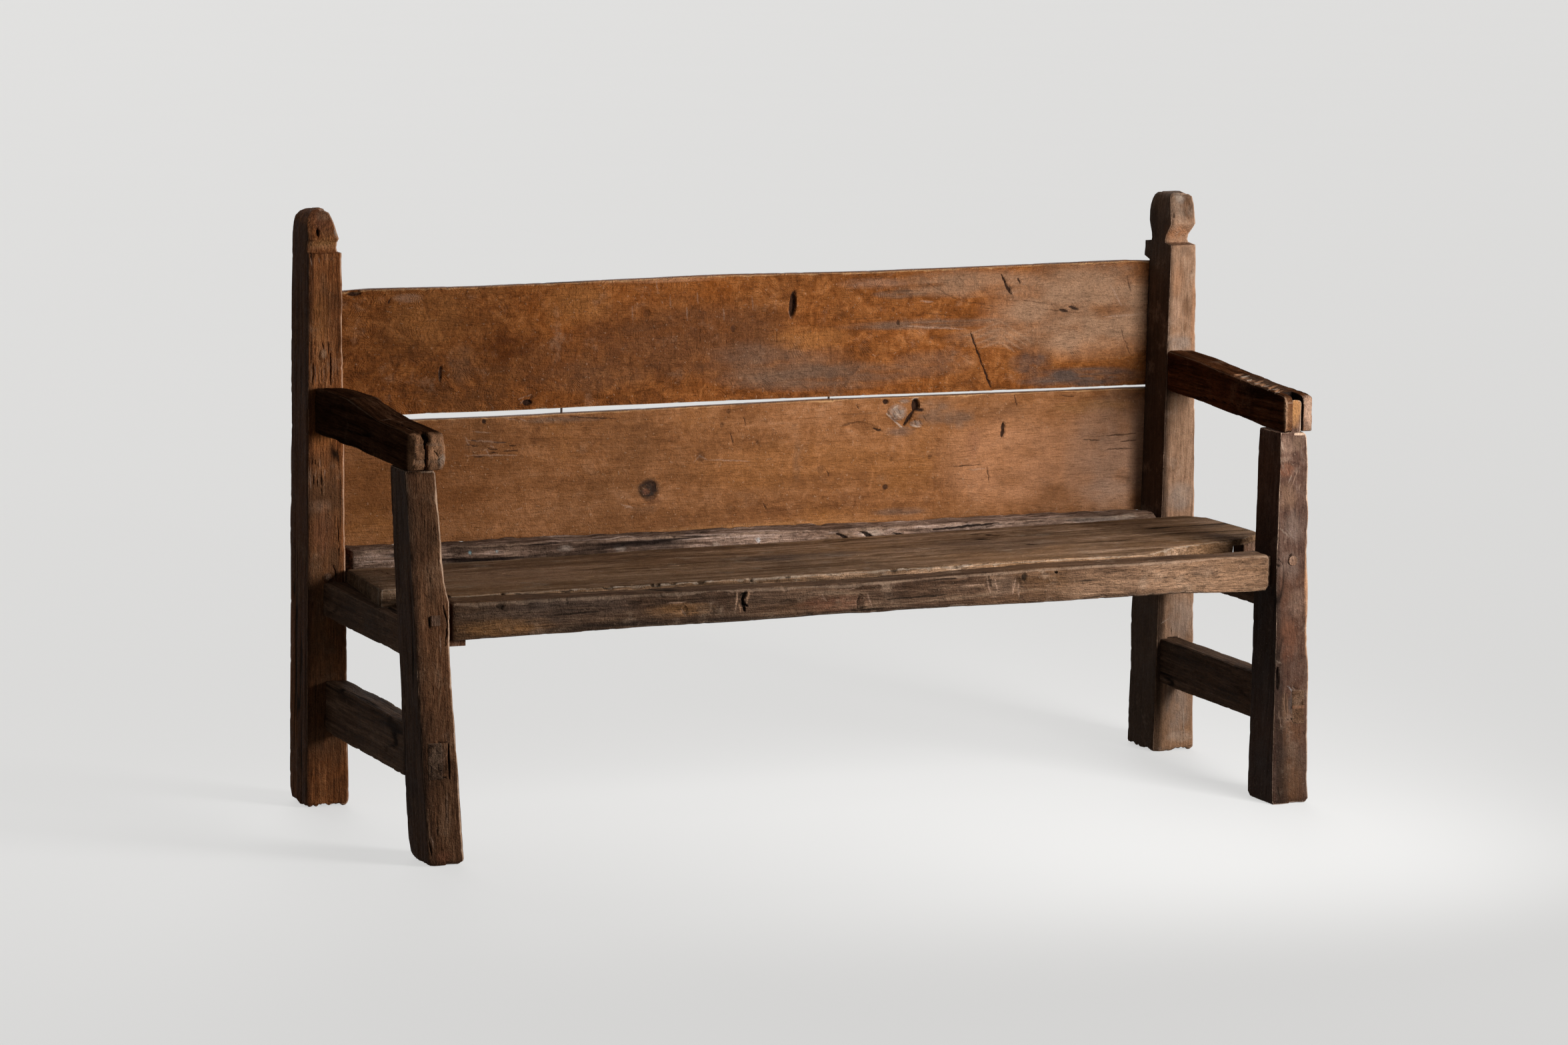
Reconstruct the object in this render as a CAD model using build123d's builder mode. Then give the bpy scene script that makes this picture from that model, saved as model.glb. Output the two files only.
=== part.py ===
import os

from build123d import *

os.makedirs("parts", exist_ok=True)

# Bench of hewn timber, in millimetres, +Z up, front towards -Y.
# The origin is on the floor, under the middle of the overall box.

# Overall sizes, over the posts and from the left foot's front to the posts' back
bench_length = 1723.0
bench_depth = 630.0

# Rear posts: foot and neck widths, depths, and what stands above the boards
left_post_foot = 79.0
left_post_neck = 61.0
left_shoulder_rise = 77.0
left_head_height = 73.0
left_post_shortfall = 12.0
right_post_foot = 84.5
right_post_neck = 53.5
right_post_lean = 21.5
right_post_depth = 107.0
right_shoulder_rise = 37.0
right_head_height = 92.0
post_chamfer = 3.0

# Front legs: inset from the post's outer face, widths, depths, rake
leg_height = 655.0
left_foot_inset = 40.0
left_foot_width = 65.0
left_foot_depth = 104.5
left_top_inset = 10.0
left_top_width = 55.0
left_top_depth = 79.0
left_rake = 44.0
right_foot_inset = 32.5
right_foot_width = 74.0
right_foot_depth = 94.5
right_foot_setback = 16.0
right_top_inset = 30.5
right_top_width = 55.0
right_top_depth = 82.0
right_rake = 46.0
leg_chamfer = 3.0

# Arms: heights above the leg's shoulder, at the post and along the arm
left_arm_overhang = 26.0
left_arm_inset = 13.0
left_arm_width = 57.0
left_arm_rear = 77.0
left_arm_hump = 81.0
left_arm_front = 63.0
left_arm_nose = 26.0
left_arm_split = 8.0
left_arm_split_inset = 38.0
arm_chamfer = 4.0
right_arm_setback = 4.0
right_arm_inset = 17.5
right_arm_width = 58.0
right_arm_rear_under = 18.0
right_arm_rear = 91.0
right_arm_middle = 80.0
right_arm_front = 64.0
right_arm_nose = 12.0
right_arm_slot = 22.0
right_arm_slot_length = 46.0
right_arm_slot_place = 14.0
leg_tenon_length = 60.0
leg_tenon_setback = 9.0
left_leg_tenon_height = 44.0
right_leg_tenon_front = 56.0
right_leg_tenon_back = 47.0
slot_recess = 3.0

# Side rails and stretchers
side_rail_thickness = 52.0
side_rail_inset = 30.0
side_rail_bottom = 336.0
side_rail_height = 58.0
stretcher_thickness = 40.0
stretcher_inset = 34.0
left_stretcher_bottom = 133.0
left_stretcher_height = 89.0
right_stretcher_bottom = 129.0
right_stretcher_height = 83.0
rail_chamfer = 3.0

# Front rail, set back from the left foot's front, rising to the right
front_rail_setback = 53.0
front_rail_depth = 57.0
front_rail_left_gap = 18.0
front_rail_right_gap = 8.5
front_rail_bottom = 366.0
front_rail_height = 64.0
front_rail_rise = 10.0
front_rail_sag = 4.0
front_rail_round = 6.0

# Rear rail
rear_rail_depth = 62.0
rear_rail_bottom = 376.0
rear_rail_height = 71.0
rear_rail_gap = 10.0

# Seat plank, its thickness at the four corners, and the block under its right end
seat_front_gap = 2.0
seat_left_front = 36.0
seat_left_rear = 21.0
seat_right_front = 53.0
seat_right_rear = 46.0
seat_left_inset = 39.0
seat_left_skew = 32.0
seat_right_inset = 7.0
seat_notch_length = 77.0
seat_notch_width = 135.0
seat_tongue = 86.0
seat_tongue_rise = 38.0
seat_sweep = 303.0
packing_block_length = 27.0
packing_block_depth = 40.0
packing_block_inset = 24.5

# Back boards
board_thickness = 20.0
board_lap = 45.0
lower_board_bottom = 441.0
lower_board_left_height = 218.0
lower_board_right_height = 227.0
left_board_gap = 10.0
right_board_gap = 5.0
upper_board_left_height = 219.0
upper_board_right_height = 231.0
rebate_clearance = 3.0
pin_diameter = 4.0
pin_length = 64.0
left_pin_place = 500.0
pin_spacing = 514.0
slot_width = 14.0
slot_height = 48.0
slot_depth = 9.0
slot_place = 936.0
slot_drop = 57.0
slit_width = 7.0
slit_height = 30.0
slit_place = 1358.0
slit_drop = 70.0
knot_hole = 36.0
knot_hole_depth = 6.0
knot_hole_place = 662.0
knot_hole_rise = 78.0
edge_notch_width = 22.0
edge_notch_depth = 14.0
upper_notch_place = 456.0
lower_notch_place = 1192.0

# Joints
tenon_thickness = 24.0
arm_tenon_height = 44.0
arm_tenon_length = 55.0
left_arm_tenon_rise = 17.0
right_arm_tenon_rise = 33.0
side_tenon_height = 40.0
side_tenon_rise = 6.0
side_tenon_rear = 40.0
side_tenon_front = 10.0
stretcher_tenon_height = 60.0
stretcher_tenon_rise = 12.0
stretcher_tenon_length = 45.0
stretcher_tenon_proud = 2.0
wedge_thickness = 5.0
wedge_length = 30.0
front_tenon_height = 54.0
front_tenon_length = 45.0
front_tenon_setback = 15.0
front_tenon_rise = 6.0
rear_tenon_height = 34.0
rear_tenon_length = 48.0
rear_tenon_setback = 20.0
rear_tenon_drop = 7.0
slip_thickness = 11.0
slip_proud = 43.0
left_peg_width = 15.0
left_peg_height = 17.0
left_peg_place = 22.0
left_peg_rise = 41.0
right_peg_diameter = 17.0
right_peg_place = 29.0
right_peg_rise = 54.0
peg_length = 72.0
peg_proud = 3.0
nail_diameter = 4.0
nail_head = 11.0
nail_head_height = 2.0
board_nail_length = 45.0
board_nail_inset = 20.0
board_nail_rise = 75.0
seat_nail_length = 60.0
seat_nail_sink = 1.0
seat_nail_edge = 10.0
seat_nail_reach = 192.0

# Levels and faces that follow from these
left_face = -bench_length / 2
right_face = bench_length / 2
front_face = -bench_depth / 2
back_face = bench_depth / 2
post_front = back_face - right_post_depth
left_back_face = back_face - left_post_shortfall
seat_under = side_rail_bottom + side_rail_height
seat_tongue_under = seat_under + seat_tongue_rise
rear_rail_top = rear_rail_bottom + rear_rail_height
front_rail_right_bottom = front_rail_bottom + front_rail_rise
front_rail_top = front_rail_bottom + front_rail_height
front_rail_right_top = front_rail_top + front_rail_rise
left_peg_level = front_rail_bottom + left_peg_rise
right_peg_level = front_rail_right_bottom + right_peg_rise
lower_board_left_top = lower_board_bottom + lower_board_left_height
lower_board_right_top = lower_board_bottom + lower_board_right_height
upper_board_left_bottom = lower_board_left_top + left_board_gap
upper_board_right_bottom = lower_board_right_top + right_board_gap
upper_board_left_top = upper_board_left_bottom + upper_board_left_height
upper_board_right_top = upper_board_right_bottom + upper_board_right_height
left_shoulder = upper_board_left_top + left_shoulder_rise
left_height = left_shoulder + left_head_height
right_shoulder = upper_board_right_top + right_shoulder_rise
right_height = right_shoulder + right_head_height
reach = bench_length


def between(level, height, low, high):
    return low + (high - low) * level / height


def crossed(front_points, side_points):
    # A timber from its front outline (x, z) and its side outline (y, z)
    with BuildPart() as timber:
        with BuildSketch(Plane.XZ):
            with BuildLine():
                Polyline(*front_points, close=True)
            make_face()
        extrude(amount=reach, both=True)
        with BuildSketch(Plane.YZ):
            with BuildLine():
                Polyline(*side_points, close=True)
            make_face()
        extrude(amount=reach, both=True, mode=Mode.INTERSECT)
    return timber.part


def planned(plan_points, side_points):
    # An arm from its plan (x, y) and its side outline (y, z), its long edges eased
    xs = [x for x, y in plan_points]
    with BuildPart() as timber:
        with BuildSketch(Plane.YZ.offset(min(xs))):
            with BuildLine():
                Polyline(*side_points, close=True)
            make_face()
        extrude(amount=max(xs) - min(xs))
        sides = timber.faces().filter_by(Axis.X).edges()
        lengthwise = sides.filter_by(lambda edge: abs(edge.tangent_at(0).Z) < 0.3)
        chamfer(lengthwise.filter_by(lambda edge: edge.length > 6 * arm_chamfer), length=arm_chamfer)
        with BuildSketch(Plane.XY):
            with BuildLine():
                Polyline(*plan_points, close=True)
            make_face()
        extrude(amount=reach, both=True, mode=Mode.INTERSECT)
    return timber.part


def box(x0, x1, y0, y1, z0, z1, mode=Mode.ADD):
    with Locations(((x0 + x1) / 2, (y0 + y1) / 2, (z0 + z1) / 2)):
        Box(abs(x1 - x0), abs(y1 - y0), abs(z1 - z0), mode=mode)


def rod_y(x, z, diameter, y0, y1, mode=Mode.ADD):
    with Locations((x, (y0 + y1) / 2, z)):
        Cylinder(diameter / 2, abs(y1 - y0), rotation=(90, 0, 0), mode=mode)


def rod_z(x, y, diameter, z0, z1, mode=Mode.ADD):
    with Locations((x, y, (z0 + z1) / 2)):
        Cylinder(diameter / 2, abs(z1 - z0), mode=mode)


def side_prism(points, x0, x1, mode=Mode.ADD):
    # A side outline (y, z) drawn out from x0 to x1
    with BuildSketch(Plane.YZ.offset(x0)) as outline:
        with BuildLine():
            Polyline(*points, close=True)
        make_face()
    extrude(outline.sketch, amount=x1 - x0, mode=mode)


def long_edges(part, length):
    return part.edges().filter_by(lambda edge: edge.length > length)


# Faces of the legs at a height above the floor
def left_leg_outer(z):
    return left_face + between(z, leg_height, left_foot_inset, left_top_inset)


def left_leg_inner(z):
    foot = left_foot_inset + left_foot_width
    return left_face + between(z, leg_height, foot, left_top_inset + left_top_width)


def left_leg_front(z):
    return front_face + between(z, leg_height, 0, left_rake)


def left_leg_back(z):
    return front_face + between(z, leg_height, left_foot_depth, left_rake + left_top_depth)


def right_leg_outer(z):
    return right_face - between(z, leg_height, right_foot_inset, right_top_inset)


def right_leg_inner(z):
    foot = right_foot_inset + right_foot_width
    return right_face - between(z, leg_height, foot, right_top_inset + right_top_width)


def right_leg_front(z):
    return front_face + right_foot_setback + between(z, leg_height, 0, right_rake)


def right_leg_back(z):
    foot = right_foot_depth
    return front_face + right_foot_setback + between(z, leg_height, foot, right_rake + right_top_depth)


# Inner faces of the posts at a height above the floor
def left_post_inner(z):
    return left_face + between(z, left_shoulder, left_post_foot, left_post_neck)


def right_post_inner(z):
    return right_face - between(z, right_shoulder, right_post_foot, right_post_lean + right_post_neck)


def seat_top(x, y):
    # Height of the twisted seat surface
    along = (x - left_face) / bench_length
    across = (post_front - y) / seat_width
    rear = seat_left_rear + (seat_right_rear - seat_left_rear) * along
    front = seat_left_front + (seat_right_front - seat_left_front) * along
    return seat_under + rear + (front - rear) * across


# Places of the joints
left_arm_x = left_face + left_arm_inset + left_arm_width / 2
right_arm_x = right_face - right_arm_inset - right_arm_width / 2
left_arm_tenon_z = leg_height + left_arm_tenon_rise
right_arm_tenon_z = leg_height + right_arm_tenon_rise
left_side_x0 = left_face + side_rail_inset
left_side_x1 = left_side_x0 + side_rail_thickness
right_side_x1 = right_face - side_rail_inset
right_side_x0 = right_side_x1 - side_rail_thickness
left_side_tenon = (left_side_x0 + left_side_x1) / 2
right_side_tenon = (right_side_x0 + right_side_x1) / 2
side_tenon_z = side_rail_bottom + side_tenon_rise
left_stretcher_x0 = left_face + stretcher_inset
left_stretcher_x1 = left_stretcher_x0 + stretcher_thickness
right_stretcher_x1 = right_face - stretcher_inset
right_stretcher_x0 = right_stretcher_x1 - stretcher_thickness
left_stretcher_tenon = (left_stretcher_x0 + left_stretcher_x1) / 2
right_stretcher_tenon = (right_stretcher_x0 + right_stretcher_x1) / 2
left_stretcher_tenon_z = left_stretcher_bottom + stretcher_tenon_rise
right_stretcher_tenon_z = right_stretcher_bottom + stretcher_tenon_rise
front_rail_y0 = front_face + front_rail_setback
front_rail_y1 = front_rail_y0 + front_rail_depth
seat_front = front_rail_y1 + seat_front_gap
seat_width = post_front - seat_front
front_rail_x0 = left_leg_inner(front_rail_top) + front_rail_left_gap
front_rail_x1 = right_leg_inner(front_rail_right_bottom) - front_rail_right_gap
front_tenon_y0 = front_rail_y0 + front_tenon_setback
front_tenon_y1 = front_tenon_y0 + tenon_thickness
front_tenon_x0 = left_leg_inner(front_rail_bottom) - front_tenon_length
front_tenon_x1 = right_leg_inner(front_rail_right_top) + front_tenon_length
front_tenon_left_z = front_rail_bottom
front_tenon_right_z = front_rail_right_bottom + front_tenon_rise
rear_rail_x0 = left_post_inner(rear_rail_bottom) + rear_rail_gap
rear_rail_x1 = right_post_inner(rear_rail_bottom) - rear_rail_gap
rear_tenon_y0 = post_front + rear_tenon_setback
rear_tenon_y1 = rear_tenon_y0 + tenon_thickness
rear_tenon_z0 = rear_rail_top - rear_tenon_drop - rear_tenon_height
rear_tenon_z1 = rear_tenon_z0 + rear_tenon_height
rear_tenon_x0 = left_post_inner(rear_rail_bottom) - rear_tenon_length
rear_tenon_x1 = right_post_inner(rear_rail_bottom) + rear_tenon_length
board_back = back_face - nail_head_height
board_front = board_back - board_thickness
board_x0 = left_post_inner(lower_board_bottom) - board_lap
board_x1 = right_post_inner(lower_board_bottom) + board_lap
nail_xs = [board_x0 + board_nail_inset, board_x1 - board_nail_inset]
nail_zs = [
    lower_board_bottom + board_nail_rise,
    lower_board_left_top - board_nail_rise,
    upper_board_right_bottom + board_nail_rise,
    upper_board_left_top - board_nail_rise,
]
left_tenon_x = left_face + left_arm_split_inset
leg_tenon_y0 = left_leg_front(leg_height) + leg_tenon_setback
slot_x0 = right_face - right_arm_inset - right_arm_width + right_arm_slot_place
slot_x1 = slot_x0 + right_arm_slot
right_arm_end = right_leg_front(leg_height) + right_arm_setback
right_arm_reach = post_front - right_arm_end
slot_end = right_arm_end + right_arm_slot_length
block_x1 = right_face - packing_block_inset
block_x0 = block_x1 - packing_block_length
block_y0 = post_front - 0.66 * seat_width
block_y1 = block_y0 + packing_block_depth
seat_nails_at = [
    (left_side_x1 - seat_nail_edge, post_front - seat_nail_reach),
    ((block_x0 + block_x1) / 2, (block_y0 + block_y1) / 2),
]


def tenon_slot(x, y0, y1, z0, height, mode=Mode.ADD):
    # A tenon, or its mortise, that runs along Y
    box(x - tenon_thickness / 2, x + tenon_thickness / 2, y0, y1, z0, z0 + height, mode)


def rail_tenon(x0, x1, y0, y1, z0, z1, mode=Mode.ADD):
    # A tenon, or its mortise, that runs along X
    box(x0, x1, y0, y1, z0, z1, mode)


def nail_holes(mode=Mode.SUBTRACT):
    for x in nail_xs:
        for z in nail_zs:
            rod_y(x, z, nail_diameter, board_back, board_back - board_nail_length, mode)


# Left rear post
head = left_height - left_shoulder
left_post_timber = crossed(
    [
        (left_face, 0),
        (left_face + left_post_foot, 0),
        (left_face + left_post_neck, left_shoulder),
        (left_face + left_post_neck - 5, left_shoulder + 1),
        (left_face + left_post_neck - 4, left_shoulder + 0.32 * head),
        (left_face + left_post_neck - 9, left_shoulder + 0.62 * head),
        (left_face + left_post_neck - 15, left_shoulder + 0.93 * head),
        (left_face + left_post_neck - 25, left_height),
        (left_face + 22, left_height),
        (left_face + 10, left_shoulder + 0.94 * head),
        (left_face + 3, left_shoulder + 0.8 * head),
        (left_face, left_shoulder + 0.6 * head),
    ],
    [
        (post_front, 0),
        (left_back_face, 0),
        (left_back_face, left_shoulder),
        (left_back_face - 2, left_shoulder + 2),
        (left_back_face - 3, left_shoulder + 0.5 * head),
        (left_back_face - 9, left_shoulder + 0.8 * head),
        (left_back_face - 24, left_shoulder + 0.97 * head),
        (left_back_face - 40, left_height),
        (post_front + 38, left_height),
        (post_front + 20, left_shoulder + 0.9 * head),
        (post_front + 8, left_shoulder + 0.52 * head),
        (post_front + 3, left_shoulder + 0.32 * head),
        (post_front + 9, left_shoulder + 0.22 * head),
        (post_front + 13, left_shoulder + 0.1 * head),
        (post_front + 11, left_shoulder),
        (post_front, left_shoulder),
    ],
)
with BuildPart() as rear_post_left:
    add(left_post_timber)
    chamfer(long_edges(rear_post_left.part, 0.8 * left_shoulder), length=post_chamfer)
    tenon_slot(
        left_arm_x, post_front, post_front + arm_tenon_length,
        left_arm_tenon_z, arm_tenon_height, Mode.SUBTRACT,
    )
    tenon_slot(
        left_side_tenon, post_front, post_front + side_tenon_rear,
        side_tenon_z, side_tenon_height, Mode.SUBTRACT,
    )
    tenon_slot(
        left_stretcher_tenon, post_front, post_front + stretcher_tenon_length,
        left_stretcher_tenon_z, stretcher_tenon_height, Mode.SUBTRACT,
    )
    rail_tenon(
        rear_tenon_x0, rear_rail_x0, rear_tenon_y0, rear_tenon_y1,
        rear_tenon_z0, rear_tenon_z1, Mode.SUBTRACT,
    )
    box(
        board_x0, left_face + 2 * left_post_foot, board_front, back_face + 5,
        lower_board_bottom, upper_board_left_top + rebate_clearance, Mode.SUBTRACT,
    )
    nail_holes()
rear_post_left.part.label = "rear_post_left"
export_step(rear_post_left.part, "parts/rear_post_left.step")

# Right rear post
head = right_height - right_shoulder
right_neck_x = right_face - right_post_lean
right_post_timber = crossed(
    [
        (right_face, 0),
        (right_face - right_post_foot, 0),
        (right_neck_x - right_post_neck, right_shoulder),
        (right_neck_x - right_post_neck + 1, right_shoulder + 0.5 * head),
        (right_neck_x - right_post_neck + 4, right_shoulder + 0.9 * head),
        (right_neck_x - right_post_neck + 12, right_height),
        (right_neck_x - 10, right_height),
        (right_neck_x - 3, right_shoulder + 0.94 * head),
        (right_neck_x - 1, right_shoulder + 0.7 * head),
        (right_neck_x, right_shoulder + 0.45 * head),
        (right_neck_x - 3, right_shoulder + 0.06 * head),
        (right_neck_x, right_shoulder),
    ],
    [
        (post_front, 0),
        (back_face, 0),
        (back_face, right_shoulder),
        (back_face - 27, right_shoulder + 2),
        (back_face - 25, right_shoulder + 0.2 * head),
        (back_face - 15, right_shoulder + 0.42 * head),
        (back_face - 14, right_shoulder + 0.6 * head),
        (back_face - 20, right_shoulder + 0.85 * head),
        (back_face - 36, right_height),
        (post_front + 23, right_height),
        (post_front + 16, right_shoulder + 0.96 * head),
        (post_front + 7, right_shoulder + 0.6 * head),
        (post_front + 3, right_shoulder + 0.4 * head),
        (post_front + 11, right_shoulder + 0.3 * head),
        (post_front + 22, right_shoulder + 0.16 * head),
        (post_front + 27, right_shoulder + 0.02 * head),
        (post_front, right_shoulder),
    ],
)
with BuildPart() as rear_post_right:
    add(right_post_timber)
    chamfer(long_edges(rear_post_right.part, 0.8 * right_shoulder), length=post_chamfer)
    tenon_slot(
        right_arm_x, post_front, post_front + arm_tenon_length,
        right_arm_tenon_z, arm_tenon_height, Mode.SUBTRACT,
    )
    tenon_slot(
        right_side_tenon, post_front, post_front + side_tenon_rear,
        side_tenon_z, side_tenon_height, Mode.SUBTRACT,
    )
    tenon_slot(
        right_stretcher_tenon, post_front, post_front + stretcher_tenon_length,
        right_stretcher_tenon_z, stretcher_tenon_height, Mode.SUBTRACT,
    )
    rail_tenon(
        rear_rail_x1, rear_tenon_x1, rear_tenon_y0, rear_tenon_y1,
        rear_tenon_z0, rear_tenon_z1, Mode.SUBTRACT,
    )
    box(
        right_face - 2 * right_post_foot, board_x1, board_front, back_face + 5,
        lower_board_bottom, upper_board_right_top + rebate_clearance, Mode.SUBTRACT,
    )
    nail_holes()
rear_post_right.part.label = "rear_post_right"
export_step(rear_post_right.part, "parts/rear_post_right.step")

# Left front leg, raked, with its tenon up into the arm
left_leg_timber = crossed(
    [
        (left_leg_outer(0), 0),
        (left_leg_inner(0), 0),
        (left_leg_inner(leg_height), leg_height),
        (left_leg_outer(leg_height), leg_height),
    ],
    [
        (left_leg_front(0), 0),
        (left_leg_back(0), 0),
        (left_leg_back(leg_height), leg_height),
        (left_leg_front(leg_height), leg_height),
    ],
)
left_peg_x = left_leg_inner(left_peg_level) - left_peg_place
left_peg_y = left_leg_front(left_peg_level) - peg_proud
with BuildPart() as front_leg_left:
    add(left_leg_timber)
    chamfer(long_edges(front_leg_left.part, 0.8 * leg_height), length=leg_chamfer)
    tenon_slot(
        left_tenon_x, leg_tenon_y0, leg_tenon_y0 + leg_tenon_length,
        leg_height, left_leg_tenon_height,
    )
    rail_tenon(
        front_tenon_x0, front_rail_x0, front_tenon_y0, front_tenon_y1,
        front_tenon_left_z - slip_thickness, front_tenon_left_z + front_tenon_height, Mode.SUBTRACT,
    )
    tenon_slot(
        left_side_tenon, left_leg_back(side_rail_bottom) - side_tenon_front, post_front,
        side_tenon_z, side_tenon_height, Mode.SUBTRACT,
    )
    tenon_slot(
        left_stretcher_tenon, front_face - 10, post_front,
        left_stretcher_tenon_z, stretcher_tenon_height, Mode.SUBTRACT,
    )
    box(
        left_peg_x - left_peg_width / 2, left_peg_x + left_peg_width / 2,
        left_peg_y, left_peg_y + peg_length,
        left_peg_level - left_peg_height / 2, left_peg_level + left_peg_height / 2, Mode.SUBTRACT,
    )
front_leg_left.part.label = "front_leg_left"
export_step(front_leg_left.part, "parts/front_leg_left.step")

# Right front leg, its tenon sloping down towards the back
right_leg_timber = crossed(
    [
        (right_leg_outer(0), 0),
        (right_leg_inner(0), 0),
        (right_leg_inner(leg_height), leg_height),
        (right_leg_outer(leg_height), leg_height),
    ],
    [
        (right_leg_front(0), 0),
        (right_leg_back(0), 0),
        (right_leg_back(leg_height), leg_height),
        (right_leg_front(leg_height), leg_height),
    ],
)
right_peg_x = right_leg_inner(right_peg_level) + right_peg_place
right_peg_y = right_leg_front(right_peg_level) - peg_proud
with BuildPart() as front_leg_right:
    add(right_leg_timber)
    chamfer(long_edges(front_leg_right.part, 0.8 * leg_height), length=leg_chamfer)
    side_prism(
        [
            (right_arm_end + slot_recess, leg_height),
            (slot_end, leg_height),
            (slot_end, leg_height + right_leg_tenon_back),
            (right_arm_end + slot_recess, leg_height + right_leg_tenon_front),
        ],
        slot_x0, slot_x1,
    )
    rail_tenon(
        front_rail_x1, front_tenon_x1, front_tenon_y0, front_tenon_y1,
        front_tenon_right_z, front_tenon_right_z + front_tenon_height, Mode.SUBTRACT,
    )
    tenon_slot(
        right_side_tenon, right_leg_back(side_rail_bottom) - side_tenon_front, post_front,
        side_tenon_z, side_tenon_height, Mode.SUBTRACT,
    )
    tenon_slot(
        right_stretcher_tenon, front_face - 10, post_front,
        right_stretcher_tenon_z, stretcher_tenon_height, Mode.SUBTRACT,
    )
    rod_y(
        right_peg_x, right_peg_level, right_peg_diameter,
        right_peg_y, right_peg_y + peg_length, Mode.SUBTRACT,
    )
front_leg_right.part.label = "front_leg_right"
export_step(front_leg_right.part, "parts/front_leg_right.step")

# Left arm, humped at the back and split at its front end
left_arm_end = left_leg_front(leg_height) - left_arm_overhang
left_arm_reach = post_front - left_arm_end
left_arm_x0 = left_face + left_arm_inset
left_arm_x1 = left_arm_x0 + left_arm_width
left_arm_timber = planned(
    [
        (left_arm_x0, post_front),
        (left_arm_x1 - 0.04 * left_arm_width, post_front),
        (left_arm_x1, post_front - 0.6 * left_arm_reach),
        (left_arm_x1 + 0.05 * left_arm_width, left_arm_end + 1.5 * left_arm_nose),
        (left_arm_x1 + 0.02 * left_arm_width, left_arm_end + 0.35 * left_arm_nose),
        (left_arm_x1 - 0.1 * left_arm_width, left_arm_end),
        (left_arm_x0 + 0.16 * left_arm_width, left_arm_end),
        (left_arm_x0 + 0.04 * left_arm_width, left_arm_end + 0.46 * left_arm_nose),
        (left_arm_x0, left_arm_end + 1.5 * left_arm_nose),
    ],
    [
        (post_front, leg_height),
        (post_front, leg_height + left_arm_rear),
        (post_front - 0.12 * left_arm_reach, leg_height + left_arm_hump),
        (post_front - 0.33 * left_arm_reach, leg_height + left_arm_hump),
        (post_front - 0.5 * left_arm_reach, leg_height + (left_arm_hump + left_arm_front) / 2),
        (post_front - 0.6 * left_arm_reach, leg_height + 1.03 * left_arm_front),
        (post_front - 0.65 * left_arm_reach, leg_height + 1.02 * left_arm_front),
        (left_arm_end + 0.85 * left_arm_nose, leg_height + left_arm_front),
        (left_arm_end + 0.25 * left_arm_nose, leg_height + 0.88 * left_arm_front),
        (left_arm_end, leg_height + 0.7 * left_arm_front),
        (left_arm_end + 0.05 * left_arm_nose, leg_height + 0.32 * left_arm_front),
        (left_arm_end + 0.3 * left_arm_nose, leg_height + 0.13 * left_arm_front),
        (left_arm_end + left_arm_nose, leg_height),
    ],
)
with BuildPart() as arm_left:
    add(left_arm_timber)
    tenon_slot(
        left_arm_x, post_front, post_front + arm_tenon_length,
        left_arm_tenon_z, arm_tenon_height,
    )
    tenon_slot(
        left_tenon_x, leg_tenon_y0, leg_tenon_y0 + leg_tenon_length,
        leg_height, left_leg_tenon_height, Mode.SUBTRACT,
    )
    box(
        left_tenon_x - left_arm_split / 2, left_tenon_x + left_arm_split / 2,
        left_arm_end - left_arm_nose, leg_tenon_y0, 0, leg_height + 2 * left_arm_hump, Mode.SUBTRACT,
    )
arm_left.part.label = "arm_left"
export_step(arm_left.part, "parts/arm_left.step")

# Right arm, falling to the front, with an open slot for the leg's tenon
right_arm_x1 = right_face - right_arm_inset
right_arm_x0 = right_arm_x1 - right_arm_width
right_arm_timber = planned(
    [
        (right_arm_x0, post_front),
        (right_arm_x1 - 0.02 * right_arm_width, post_front),
        (right_arm_x1, right_arm_end + 2 * right_arm_nose),
        (right_arm_x1 - 0.03 * right_arm_width, right_arm_end + 0.4 * right_arm_nose),
        (right_arm_x1 - 0.12 * right_arm_width, right_arm_end),
        (right_arm_x0, right_arm_end),
    ],
    [
        (post_front, leg_height + right_arm_rear_under),
        (post_front, leg_height + right_arm_rear),
        (post_front - 0.2 * right_arm_reach, leg_height + 0.97 * right_arm_rear),
        (post_front - 0.42 * right_arm_reach, leg_height + right_arm_middle),
        (post_front - 0.71 * right_arm_reach, leg_height + 0.4 * right_arm_middle + 0.6 * right_arm_front),
        (right_arm_end + 1.3 * right_arm_nose, leg_height + right_arm_front),
        (right_arm_end + 0.3 * right_arm_nose, leg_height + 0.94 * right_arm_front),
        (right_arm_end, leg_height + 0.81 * right_arm_front),
        (right_arm_end, leg_height),
        (right_leg_back(leg_height), leg_height),
        (post_front - 0.55 * right_arm_reach, leg_height + 0.4 * right_arm_rear_under),
        (post_front - 0.25 * right_arm_reach, leg_height + 0.83 * right_arm_rear_under),
    ],
)
with BuildPart() as arm_right:
    add(right_arm_timber)
    tenon_slot(
        right_arm_x, post_front, post_front + arm_tenon_length,
        right_arm_tenon_z, arm_tenon_height,
    )
    box(
        slot_x0, slot_x1, right_arm_end - right_arm_nose, slot_end,
        0, leg_height + 2 * right_arm_rear, Mode.SUBTRACT,
    )
arm_right.part.label = "arm_right"
export_step(arm_right.part, "parts/arm_right.step")

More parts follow.
